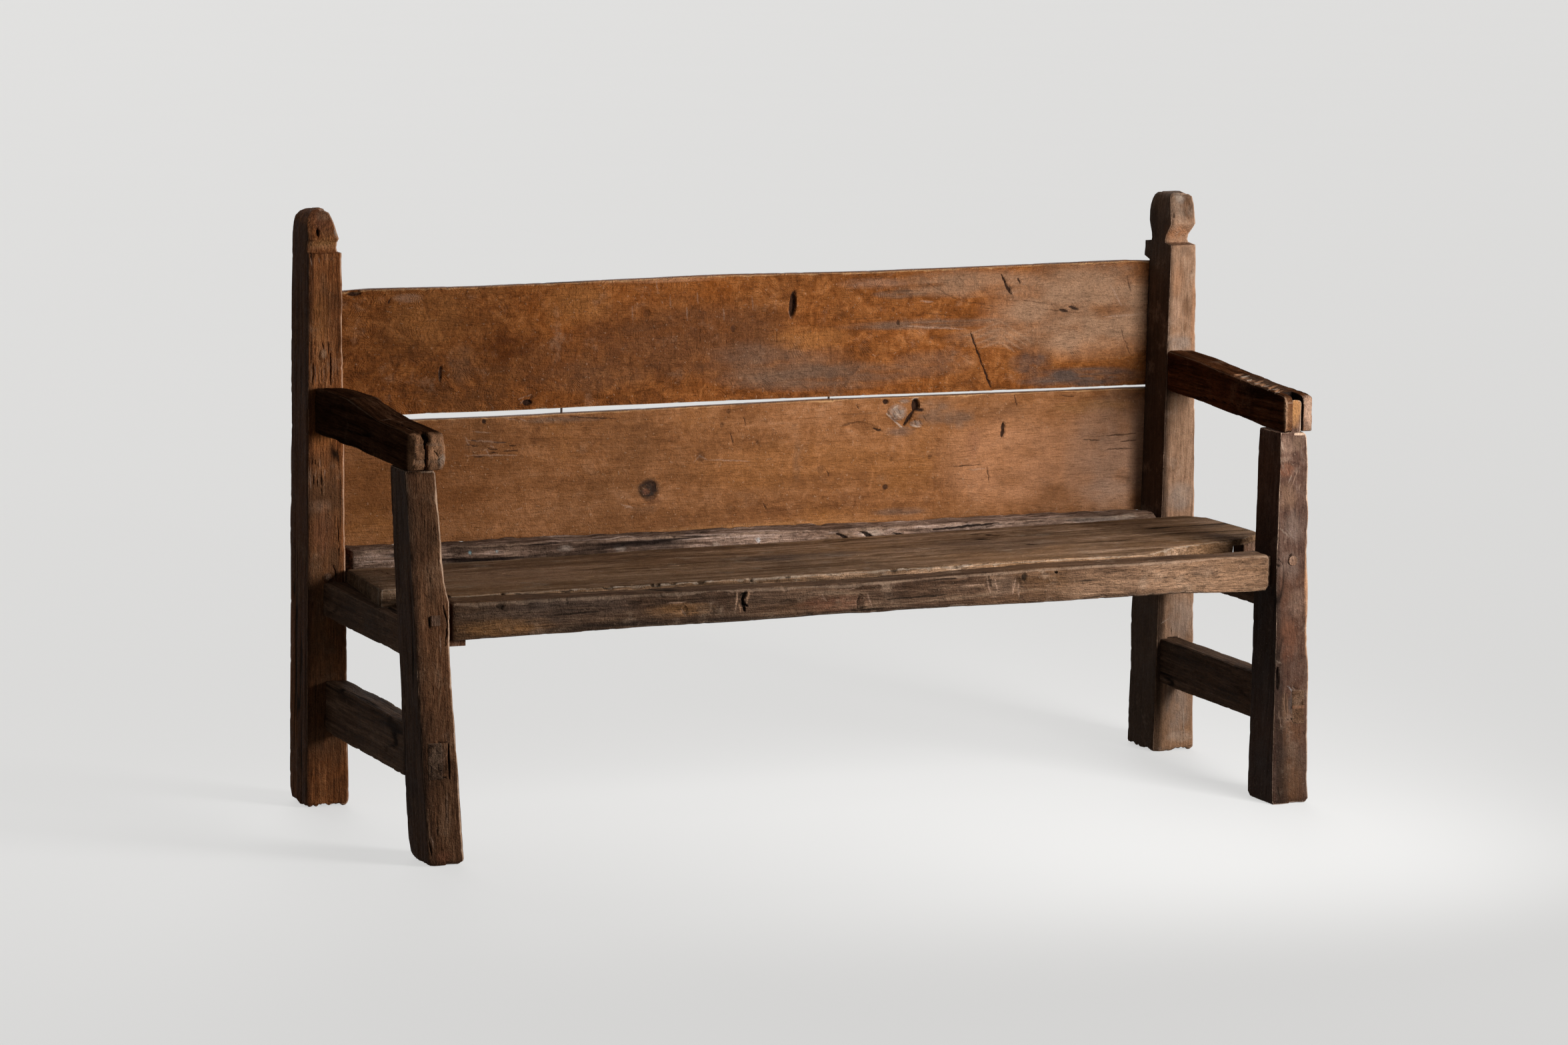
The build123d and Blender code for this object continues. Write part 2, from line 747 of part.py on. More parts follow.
# Side rails under the seat
with BuildPart() as side_rail_left:
    side_prism(
        [
            (left_leg_back(side_rail_bottom), side_rail_bottom),
            (post_front, side_rail_bottom),
            (post_front, seat_under),
            (left_leg_back(seat_under), seat_under),
        ],
        left_side_x0, left_side_x1,
    )
    chamfer(
        side_rail_left.edges().filter_by(Axis.Y).sort_by(Axis.Z)[:2], length=rail_chamfer,
    )
    tenon_slot(
        left_side_tenon, post_front, post_front + side_tenon_rear,
        side_tenon_z, side_tenon_height,
    )
    tenon_slot(
        left_side_tenon, left_leg_back(side_rail_bottom) - side_tenon_front,
        left_leg_back(side_rail_bottom) + 20, side_tenon_z, side_tenon_height,
    )
    nail_x, nail_y = seat_nails_at[0]
    nail_foot = seat_top(nail_x, nail_y) - seat_nail_sink - nail_head_height - seat_nail_length
    rod_z(nail_x, nail_y, nail_diameter, nail_foot, seat_under + 10, Mode.SUBTRACT)
side_rail_left.part.label = "side_rail_left"
export_step(side_rail_left.part, "parts/side_rail_left.step")

with BuildPart() as side_rail_right:
    side_prism(
        [
            (right_leg_back(side_rail_bottom), side_rail_bottom),
            (post_front, side_rail_bottom),
            (post_front, seat_under),
            (right_leg_back(seat_under), seat_under),
        ],
        right_side_x0, right_side_x1,
    )
    chamfer(
        side_rail_right.edges().filter_by(Axis.Y).sort_by(Axis.Z)[:2], length=rail_chamfer,
    )
    tenon_slot(
        right_side_tenon, post_front, post_front + side_tenon_rear,
        side_tenon_z, side_tenon_height,
    )
    tenon_slot(
        right_side_tenon, right_leg_back(side_rail_bottom) - side_tenon_front,
        right_leg_back(side_rail_bottom) + 20, side_tenon_z, side_tenon_height,
    )
    nail_x, nail_y = seat_nails_at[1]
    nail_foot = seat_top(nail_x, nail_y) - seat_nail_sink - nail_head_height - seat_nail_length
    rod_z(nail_x, nail_y, nail_diameter, nail_foot, seat_under + 10, Mode.SUBTRACT)
side_rail_right.part.label = "side_rail_right"
export_step(side_rail_right.part, "parts/side_rail_right.step")


def through_tenon(x, leg_front, z0, mode=Mode.ADD):
    # Through tenon that ends parallel to the raked face of the leg
    side_prism(
        [
            (leg_front(z0) - stretcher_tenon_proud, z0),
            (post_front - 200, z0),
            (post_front - 200, z0 + stretcher_tenon_height),
            (leg_front(z0 + stretcher_tenon_height) - stretcher_tenon_proud, z0 + stretcher_tenon_height),
        ],
        x - tenon_thickness / 2, x + tenon_thickness / 2, mode,
    )


def wedge_in_tenon(x, leg_front, z0, mode=Mode.ADD):
    # Tapered wedge, driven slantwise across the end of a through tenon
    z1 = z0 + stretcher_tenon_height
    tip = leg_front(z0) + wedge_length
    low = (z0 + z1) / 2 - wedge_thickness / 2
    side_prism(
        [
            (leg_front(low) - stretcher_tenon_proud, low),
            (tip, low + wedge_thickness / 2),
            (leg_front(low + wedge_thickness) - stretcher_tenon_proud, low + wedge_thickness),
        ],
        x - tenon_thickness / 2, x + tenon_thickness / 2, mode,
    )


# Stretchers near the floor
with BuildPart() as stretcher_left:
    top = left_stretcher_bottom + left_stretcher_height
    side_prism(
        [
            (left_leg_back(left_stretcher_bottom), left_stretcher_bottom),
            (post_front, left_stretcher_bottom),
            (post_front, top),
            (left_leg_back(top), top),
        ],
        left_stretcher_x0, left_stretcher_x1,
    )
    chamfer(stretcher_left.edges().filter_by(Axis.Y), length=rail_chamfer)
    tenon_slot(
        left_stretcher_tenon, post_front, post_front + stretcher_tenon_length,
        left_stretcher_tenon_z, stretcher_tenon_height,
    )
    through_tenon(left_stretcher_tenon, left_leg_front, left_stretcher_tenon_z)
    wedge_in_tenon(left_stretcher_tenon, left_leg_front, left_stretcher_tenon_z, Mode.SUBTRACT)
stretcher_left.part.label = "stretcher_left"
export_step(stretcher_left.part, "parts/stretcher_left.step")

with BuildPart() as stretcher_right:
    top = right_stretcher_bottom + right_stretcher_height
    side_prism(
        [
            (right_leg_back(right_stretcher_bottom), right_stretcher_bottom),
            (post_front, right_stretcher_bottom),
            (post_front, top),
            (right_leg_back(top), top),
        ],
        right_stretcher_x0, right_stretcher_x1,
    )
    chamfer(stretcher_right.edges().filter_by(Axis.Y), length=rail_chamfer)
    tenon_slot(
        right_stretcher_tenon, post_front, post_front + stretcher_tenon_length,
        right_stretcher_tenon_z, stretcher_tenon_height,
    )
    through_tenon(right_stretcher_tenon, right_leg_front, right_stretcher_tenon_z)
    wedge_in_tenon(right_stretcher_tenon, right_leg_front, right_stretcher_tenon_z, Mode.SUBTRACT)
stretcher_right.part.label = "stretcher_right"
export_step(stretcher_right.part, "parts/stretcher_right.step")

with BuildPart() as stretcher_wedges:
    wedge_in_tenon(left_stretcher_tenon, left_leg_front, left_stretcher_tenon_z)
    wedge_in_tenon(right_stretcher_tenon, right_leg_front, right_stretcher_tenon_z)
stretcher_wedges.part.label = "stretcher_wedges"
export_step(stretcher_wedges.part, "parts/stretcher_wedges.step")

# Front rail, its lower edge bowed
rail_span = front_rail_x1 - front_rail_x0
with BuildPart() as front_rail:
    with BuildSketch(Plane.XZ.offset(-front_rail_y0)):
        with BuildLine():
            Polyline(
                (front_rail_x0, front_rail_bottom),
                (front_rail_x0 + 0.1 * rail_span, front_rail_bottom + 1),
                (front_rail_x0 + 0.25 * rail_span, front_rail_bottom + 2 + front_rail_sag),
                (front_rail_x0 + 0.6 * rail_span, front_rail_right_bottom + 0.25 * front_rail_sag),
                (front_rail_x0 + 0.87 * rail_span, front_rail_right_bottom + 0.5 * front_rail_sag),
                (front_rail_x1, front_rail_right_bottom),
                (front_rail_x1, front_rail_right_top),
                (front_rail_x0 + 0.72 * rail_span, front_rail_right_top - 0.5 * front_rail_sag),
                (front_rail_x0 + 0.48 * rail_span, front_rail_top - 0.5 * front_rail_sag),
                (front_rail_x0, front_rail_top),
                close=True,
            )
        make_face()
    extrude(amount=-front_rail_depth)
    front_and_back = front_rail.edges().filter_by(Plane.XZ)
    fillet(
        front_and_back.filter_by(lambda edge: edge.length > 1.2 * front_rail_height),
        radius=front_rail_round,
    )
    rail_tenon(
        front_tenon_x0, front_rail_x0, front_tenon_y0, front_tenon_y1,
        front_tenon_left_z, front_tenon_left_z + front_tenon_height,
    )
    rail_tenon(
        front_rail_x1, front_tenon_x1, front_tenon_y0, front_tenon_y1,
        front_tenon_right_z, front_tenon_right_z + front_tenon_height,
    )
    box(
        left_peg_x - left_peg_width / 2, left_peg_x + left_peg_width / 2,
        left_peg_y, left_peg_y + peg_length,
        left_peg_level - left_peg_height / 2, left_peg_level + left_peg_height / 2, Mode.SUBTRACT,
    )
    rod_y(
        right_peg_x, right_peg_level, right_peg_diameter,
        right_peg_y, right_peg_y + peg_length, Mode.SUBTRACT,
    )
front_rail.part.label = "front_rail"
export_step(front_rail.part, "parts/front_rail.step")

# Pegs through the legs and the front rail's tenons
with BuildPart() as front_rail_peg_left:
    box(
        left_peg_x - left_peg_width / 2, left_peg_x + left_peg_width / 2,
        left_peg_y, left_peg_y + peg_length,
        left_peg_level - left_peg_height / 2, left_peg_level + left_peg_height / 2,
    )
front_rail_peg_left.part.label = "front_rail_peg_left"
export_step(front_rail_peg_left.part, "parts/front_rail_peg_left.step")

with BuildPart() as front_rail_peg_right:
    rod_y(
        right_peg_x, right_peg_level, right_peg_diameter, right_peg_y, right_peg_y + peg_length,
    )
front_rail_peg_right.part.label = "front_rail_peg_right"
export_step(front_rail_peg_right.part, "parts/front_rail_peg_right.step")

# Slip that packs the loose left tenon from below
with BuildPart() as rail_packing_slip:
    box(
        front_tenon_x0, left_leg_inner(front_rail_bottom) + slip_proud,
        front_tenon_y0, front_tenon_y1, front_tenon_left_z - slip_thickness, front_tenon_left_z,
    )
rail_packing_slip.part.label = "rail_packing_slip"
export_step(rail_packing_slip.part, "parts/rail_packing_slip.step")

# Rear rail behind the seat
with BuildPart() as rear_rail:
    box(
        rear_rail_x0, rear_rail_x1, post_front, post_front + rear_rail_depth,
        rear_rail_bottom, rear_rail_top,
    )
    chamfer(rear_rail.edges().filter_by(Axis.X), length=rail_chamfer)
    rail_tenon(
        rear_tenon_x0, rear_rail_x0, rear_tenon_y0, rear_tenon_y1, rear_tenon_z0, rear_tenon_z1,
    )
    rail_tenon(
        rear_rail_x1, rear_tenon_x1, rear_tenon_y0, rear_tenon_y1, rear_tenon_z0, rear_tenon_z1,
    )
rear_rail.part.label = "rear_rail"
export_step(rear_rail.part, "parts/rear_rail.step")

# Seat plank: a twisted slab, trimmed to its plan, its right end thinned to a tongue
seat_x1 = right_face - seat_right_inset
seat_notch_x = left_face + seat_left_inset + seat_notch_length
tongue_x = seat_x1 - seat_tongue
with BuildPart() as seat_plank:
    for x, rear, front in (
        (left_face, seat_left_rear, seat_left_front),
        (right_face, seat_right_rear, seat_right_front),
    ):
        with BuildSketch(Plane.YZ.offset(x)):
            with BuildLine():
                Polyline(
                    (seat_front, seat_under),
                    (post_front, seat_under),
                    (post_front, seat_under + rear),
                    (seat_front, seat_under + front),
                    close=True,
                )
            make_face()
    loft(ruled=True)
    with BuildSketch(Plane.XY.offset(seat_under - 20)):
        with BuildLine():
            Polyline(
                (left_face + seat_left_inset + seat_left_skew, post_front),
                (seat_x1 - 0.08 * seat_sweep, post_front),
                (seat_x1 - 0.01 * seat_sweep, post_front - 0.09 * seat_width),
                (seat_x1, post_front - 0.56 * seat_width),
                (seat_x1 - 0.04 * seat_sweep, post_front - 0.64 * seat_width),
                (seat_x1 - 0.195 * seat_sweep, post_front - 0.735 * seat_width),
                (seat_x1 - 0.55 * seat_sweep, post_front - 0.81 * seat_width),
                (seat_x1 - 0.76 * seat_sweep, post_front - 0.862 * seat_width),
                (seat_x1 - seat_sweep, seat_front),
                (seat_notch_x, seat_front),
                (seat_notch_x, seat_front + seat_notch_width),
                (left_face + seat_left_inset, seat_front + seat_notch_width),
                close=True,
            )
        make_face()
    extrude(amount=150, mode=Mode.INTERSECT)
    box(
        tongue_x, right_face + 10, seat_front - 10, post_front + 10,
        seat_under - 10, seat_tongue_under, Mode.SUBTRACT,
    )
    for x, y in seat_nails_at:
        head_z = seat_top(x, y) - seat_nail_sink - nail_head_height
        rod_z(x, y, nail_diameter, seat_under - 10, head_z, Mode.SUBTRACT)
        rod_z(x, y, nail_head, head_z, head_z + 20, Mode.SUBTRACT)
seat_plank.part.label = "seat_plank"
export_step(seat_plank.part, "parts/seat_plank.step")

# Block that carries the thin right end of the plank
with BuildPart() as seat_packing_block:
    box(block_x0, block_x1, block_y0, block_y1, seat_under, seat_tongue_under)
    rod_z(*seat_nails_at[1], nail_diameter, seat_under - 10, seat_tongue_under + 10, Mode.SUBTRACT)
seat_packing_block.part.label = "seat_packing_block"
export_step(seat_packing_block.part, "parts/seat_packing_block.step")

with BuildPart() as seat_nails:
    for x, y in seat_nails_at:
        head_z = seat_top(x, y) - seat_nail_sink - nail_head_height
        rod_z(x, y, nail_diameter, head_z - seat_nail_length, head_z)
        rod_z(x, y, nail_head, head_z, head_z + nail_head_height)
seat_nails.part.label = "seat_nails"
export_step(seat_nails.part, "parts/seat_nails.step")


def pin_holes(mode=Mode.SUBTRACT):
    for place in (left_pin_place, left_pin_place + pin_spacing):
        x = left_face + place
        z = (lower_board_left_top + upper_board_right_bottom) / 2
        rod_z(
            x, (board_front + board_back) / 2, pin_diameter,
            z - pin_length / 2, z + pin_length / 2, mode,
        )


def hollow(place, z, width, height, depth):
    # Oval hollow in the front of a board
    with BuildSketch(Plane.XZ.offset(-board_front)) as outline:
        with Locations((left_face + place, z)):
            Ellipse(width / 2, height / 2)
    extrude(outline.sketch, amount=-depth, mode=Mode.SUBTRACT)


def edge_notch(place, z, depth):
    # Broken-out knot at the edge of a board, narrower at its foot
    x = left_face + place
    with BuildSketch(Plane.XZ.offset(-board_front)) as outline:
        with BuildLine():
            Polyline(
                (x - edge_notch_width / 2, z - depth),
                (x - edge_notch_width / 2, z),
                (x - edge_notch_width / 5, z + depth),
                (x + edge_notch_width / 4, z + depth),
                (x + edge_notch_width / 2, z),
                (x + edge_notch_width / 2, z - depth),
                close=True,
            )
        make_face()
    extrude(outline.sketch, amount=-board_thickness, mode=Mode.SUBTRACT)


# Back boards, let into the posts from behind
board_span = board_x1 - board_x0
with BuildPart() as back_board_lower:
    with BuildSketch(Plane.XZ.offset(-board_front)):
        with BuildLine():
            Polyline(
                (board_x0, lower_board_bottom),
                (board_x0 + 0.17 * board_span, lower_board_bottom),
                (board_x0 + 0.4 * board_span, lower_board_bottom - 5),
                (board_x0 + 0.57 * board_span, lower_board_bottom - 6),
                (board_x0 + 0.76 * board_span, lower_board_bottom - 2),
                (board_x0 + 0.95 * board_span, lower_board_bottom),
                (board_x1, lower_board_bottom),
                (board_x1, lower_board_right_top),
                (board_x0 + 0.56 * board_span, lower_board_right_top - 1),
                (board_x0 + 0.22 * board_span, lower_board_left_top),
                (board_x0, lower_board_left_top),
                close=True,
            )
        make_face()
    extrude(amount=-board_thickness)
    hollow(knot_hole_place, lower_board_bottom + knot_hole_rise, knot_hole, knot_hole, knot_hole_depth)
    hollow(slit_place, lower_board_right_top - slit_drop, slit_width, slit_height, slot_depth)
    edge_notch(lower_notch_place, lower_board_right_top, -edge_notch_depth)
    pin_holes()
    nail_holes()
back_board_lower.part.label = "back_board_lower"
export_step(back_board_lower.part, "parts/back_board_lower.step")

with BuildPart() as back_board_upper:
    with BuildSketch(Plane.XZ.offset(-board_front)):
        with BuildLine():
            Polyline(
                (board_x0, upper_board_left_bottom),
                (board_x0 + 0.22 * board_span, upper_board_left_bottom + 1),
                (board_x0 + 0.56 * board_span, upper_board_right_bottom),
                (board_x1, upper_board_right_bottom),
                (board_x1, upper_board_right_top - 3),
                (board_x0 + 0.95 * board_span, upper_board_right_top),
                (board_x0 + 0.64 * board_span, upper_board_right_top - 7),
                (board_x0 + 0.48 * board_span, upper_board_right_top - 6),
                (board_x0 + 0.18 * board_span, upper_board_left_top + 2),
                (board_x0 + 0.07 * board_span, upper_board_left_top + 2),
                (board_x0, upper_board_left_top - 4),
                close=True,
            )
        make_face()
    extrude(amount=-board_thickness)
    hollow(slot_place, upper_board_right_top - slot_drop, slot_width, slot_height, slot_depth)
    edge_notch(upper_notch_place, upper_board_right_bottom, edge_notch_depth)
    pin_holes()
    nail_holes()
back_board_upper.part.label = "back_board_upper"
export_step(back_board_upper.part, "parts/back_board_upper.step")

with BuildPart() as board_pins:
    pin_holes(Mode.ADD)
board_pins.part.label = "board_pins"
export_step(board_pins.part, "parts/board_pins.step")

with BuildPart() as board_nails:
    nail_holes(Mode.ADD)
    for x in nail_xs:
        for z in nail_zs:
            rod_y(x, z, nail_head, board_back, back_face)
board_nails.part.label = "board_nails"
export_step(board_nails.part, "parts/board_nails.step")
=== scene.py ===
import math

import bmesh
import bpy
import numpy as np
from mathutils import Matrix, Vector


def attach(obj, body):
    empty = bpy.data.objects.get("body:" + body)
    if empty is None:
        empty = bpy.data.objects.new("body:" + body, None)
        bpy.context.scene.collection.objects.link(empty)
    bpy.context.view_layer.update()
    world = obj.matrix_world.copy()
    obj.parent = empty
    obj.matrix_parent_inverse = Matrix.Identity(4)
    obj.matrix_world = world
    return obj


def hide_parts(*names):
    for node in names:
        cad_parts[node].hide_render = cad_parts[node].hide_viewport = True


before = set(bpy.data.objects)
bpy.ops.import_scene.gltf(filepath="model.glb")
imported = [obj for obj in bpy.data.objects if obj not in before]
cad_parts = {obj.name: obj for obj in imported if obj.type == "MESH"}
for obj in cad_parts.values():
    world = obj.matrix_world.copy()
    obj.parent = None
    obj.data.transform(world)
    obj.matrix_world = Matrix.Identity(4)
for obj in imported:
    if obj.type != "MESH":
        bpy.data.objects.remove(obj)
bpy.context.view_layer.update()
mm = 0.001
hair = 1e-5  # closer than this is the same place, in metres; well above the rounding of long cuts
print("frame loaded:", len(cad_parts), "nodes")


# hand tools for the timbers
def clearSelection():
    if bpy.context.mode != "OBJECT":
        bpy.ops.object.mode_set(mode="OBJECT")
    bpy.ops.object.select_all(action="DESELECT")


def pickPiece(piece):
    clearSelection()
    piece.select_set(True)
    bpy.context.view_layer.objects.active = piece


def blockOf(spans):
    # a plain block from its low and high ends on the three axes, in mm
    clearSelection()
    bpy.ops.mesh.primitive_cube_add(size=1, location=[(high + low) / 2 * mm for low, high in spans])
    block = bpy.context.object
    block.scale = [(high - low) * mm for low, high in spans]
    bpy.ops.object.transform_apply(location=True, rotation=True, scale=True)
    return block


def pickVerts(piece, test):
    net = bmesh.from_edit_mesh(piece.data)
    bpy.ops.mesh.select_mode(type="VERT")
    bpy.ops.mesh.select_all(action="DESELECT")
    for vert in net.verts:
        vert.select = test(vert.co)
    net.select_flush(True)
    bmesh.update_edit_mesh(piece.data)


def pickEdges(piece, test):
    net = bmesh.from_edit_mesh(piece.data)
    bpy.ops.mesh.select_mode(type="EDGE")
    bpy.ops.mesh.select_all(action="DESELECT")
    for edge in net.edges:
        if test(edge.verts[0].co, edge.verts[1].co):
            edge.select_set(True)
    bmesh.update_edit_mesh(piece.data)


def hewTimber(name, axis, sections, along, across):
    # a block drawn out section by section, then cut into a fine net
    # sections: place on the axis, low and high on the other two axes, all in mm
    sides = [i for i in range(3) if i != axis]
    spans = [sections[0][1:3], sections[0][3:5]]
    spans.insert(axis, (sections[0][0], sections[1][0]))
    piece = blockOf(spans)
    piece.name = piece.data.name = name
    bpy.ops.object.mode_set(mode="EDIT")
    for step in range(1, len(sections)):
        before, after = sections[step - 1], sections[step]
        if step == 1:
            pickVerts(piece, lambda co: co[axis] > after[0] * mm - hair)
        else:
            move = Vector((0, 0, 0))
            move[axis] = (after[0] - before[0]) * mm
            bpy.ops.mesh.extrude_region_move(TRANSFORM_OT_translate={"value": move})
        grow, centre, shift = Vector((1, 1, 1)), Vector((0, 0, 0)), Vector((0, 0, 0))
        centre[axis] = after[0] * mm
        for k, i in enumerate(sides):
            low0, high0 = before[1 + 2 * k], before[2 + 2 * k]
            low1, high1 = after[1 + 2 * k], after[2 + 2 * k]
            grow[i] = (high1 - low1) / (high0 - low0)
            centre[i] = (low0 + high0) / 2 * mm
            shift[i] = (low1 + high1 - low0 - high0) / 2 * mm
        bpy.ops.transform.resize(value=grow, center_override=centre)
        bpy.ops.transform.translate(value=shift)
    for before, after in zip(sections, sections[1:]):
        cuts = round((after[0] - before[0]) / along) - 1
        if cuts > 0:
            low, high = before[0] * mm, after[0] * mm
            pickEdges(piece, lambda a, b: abs(min(a[axis], b[axis]) - low) < hair
                      and abs(max(a[axis], b[axis]) - high) < hair)
            bpy.ops.mesh.subdivide(number_cuts=min(cuts, 100))
    for k, i in enumerate(sides):
        widest = max(s[2 + 2 * k] - s[1 + 2 * k] for s in sections)
        other = sides[1 - k]
        pickEdges(piece, lambda a, b: abs(a[axis] - b[axis]) < hair and abs(a[other] - b[other]) < hair)
        bpy.ops.mesh.subdivide(number_cuts=max(1, min(100, round(widest / across) - 1)))
    bpy.ops.object.mode_set(mode="OBJECT")
    return piece


# seeded noise for wear
def lattice(cell, seed):
    # whole-number hash of a cell, from -1 to 1
    n = cell[0] * 73856093 ^ cell[1] * 19349663 ^ cell[2] * 83492791 ^ (seed * 374761393 + 668265263)
    n = (n ^ n >> 13) * 1274126177 & 0x7fffffff
    n = (n ^ n >> 15) * 668265263 & 0x7fffffff
    return (n >> 8 & 0xffff) / 32767.5 - 1


def noise(points, seed):
    base = np.floor(points)
    f = points - base
    f = f * f * f * (f * (f * 6 - 15) + 10)
    cell = base.astype(np.int64).T
    total = 0
    for corner in range(8):
        step = np.array([corner & 1, corner >> 1 & 1, corner >> 2 & 1])
        weight = np.prod(np.where(step, f, 1 - f), axis=1)
        total = total + weight * lattice(cell + step[:, None], seed)
    return total


def roughNoise(points, seed, layers=3):
    return sum(noise(points * 2 ** i, seed + 11 * i) / 2 ** i for i in range(layers)) / 1.6


def oval(points, centre, half, tilt):
    # soft oval: 1 in the middle, 0 at its rim; tilt in degrees, as seen from the front
    amount = np.zeros(len(points))
    near = np.all(np.abs(points - np.array(centre)) < max(half), axis=1)
    x, y, z = (points[near] - np.array(centre)).T
    c, s = math.cos(math.radians(tilt)), math.sin(math.radians(tilt))
    turned = np.column_stack([x * c + z * s, y, z * c - x * s])
    amount[near] = np.clip(1 - ((turned / np.array(half)) ** 2).sum(1), 0, 1)
    return amount


def stroke(points, start, end, width):
    # soft line that thins out to both ends
    start, end = np.array(start, float), np.array(end, float)
    amount = np.zeros(len(points))
    low, high = np.minimum(start, end) - width, np.maximum(start, end) + width
    near = np.all((points > low) & (points < high), axis=1)
    d, run = points[near] - start, end - start
    t = np.clip(d @ run / (run @ run), 0, 1)
    gap = np.linalg.norm(d - t[:, None] * run, axis=1)
    amount[near] = np.clip(1.5 - 1.5 * gap / (width * (0.4 + 2.4 * t * (1 - t))), 0, 1)
    return amount


def refine(piece, look):
    # finer net round the small marks
    mesh = piece.data
    centres = np.empty(len(mesh.polygons) * 3)
    mesh.polygons.foreach_get("center", centres)
    centres = centres.reshape(-1, 3) / mm
    near = np.zeros(len(centres), bool)
    for start, end, width, *rest in look.get("cuts", []) + look.get("scrapes", []):
        near |= stroke(centres, start, end, width * 3 + 5) > 0
    for centre, half, tilt, *rest in look.get("dents", []):
        if sorted(half)[1] < 16:
            near |= oval(centres, centre, [h * 1.3 + 3 if h < 50 else h for h in half], tilt) > 0
    if not near.any():
        return
    pickPiece(piece)
    bpy.context.tool_settings.mesh_select_mode = (False, False, True)
    for part in (mesh.vertices, mesh.edges):
        part.foreach_set("select", np.zeros(len(part), bool))
    mesh.polygons.foreach_set("select", near)
    bpy.ops.object.mode_set(mode="EDIT")
    bpy.ops.mesh.subdivide(number_cuts=2)
    bpy.ops.object.mode_set(mode="OBJECT")


def readPoints(mesh):
    flat = np.empty(len(mesh.vertices) * 3)
    mesh.vertices.foreach_get("co", flat)
    return flat.reshape(-1, 3) / mm


def writePoints(mesh, points):
    mesh.vertices.foreach_set("co", (points * mm).ravel())
    mesh.update()


def keepOn(mesh, name, kind, values):
    layer = mesh.attributes.new(name, kind, "POINT")
    field = "color" if kind == "FLOAT_COLOR" else "value"
    layer.data.foreach_set(field, np.asarray(values, np.float32).ravel())


def paintMarks(points, ragged, look):
    # stains, scrapes, painted shade and painted glints laid over each other, their strength as alpha
    tint = np.zeros((len(points), 4))

    def lay(amount, tone):
        return tint * (1 - amount[:, None]) + np.array([*tones[tone], 1]) * amount[:, None]
    for centre, half, tilt, tone, strength in look.get("tints", []):
        patchy = 0.75 + 0.7 * roughNoise(points / half * 3 + 17, look["seed"] + 9)
        tint = lay(np.clip(oval(points, centre, half, tilt) * patchy * 1.5, 0, 1) * strength, tone)
    for start, end, width, tone, strength in look.get("scrapes", []):
        tint = lay(stroke(ragged, start, end, width) * strength, tone)
    faint = 1e-4
    tint[:, :3] = np.where(tint[:, 3:] > faint, tint[:, :3] / np.maximum(tint[:, 3:], faint), 0)
    return tint


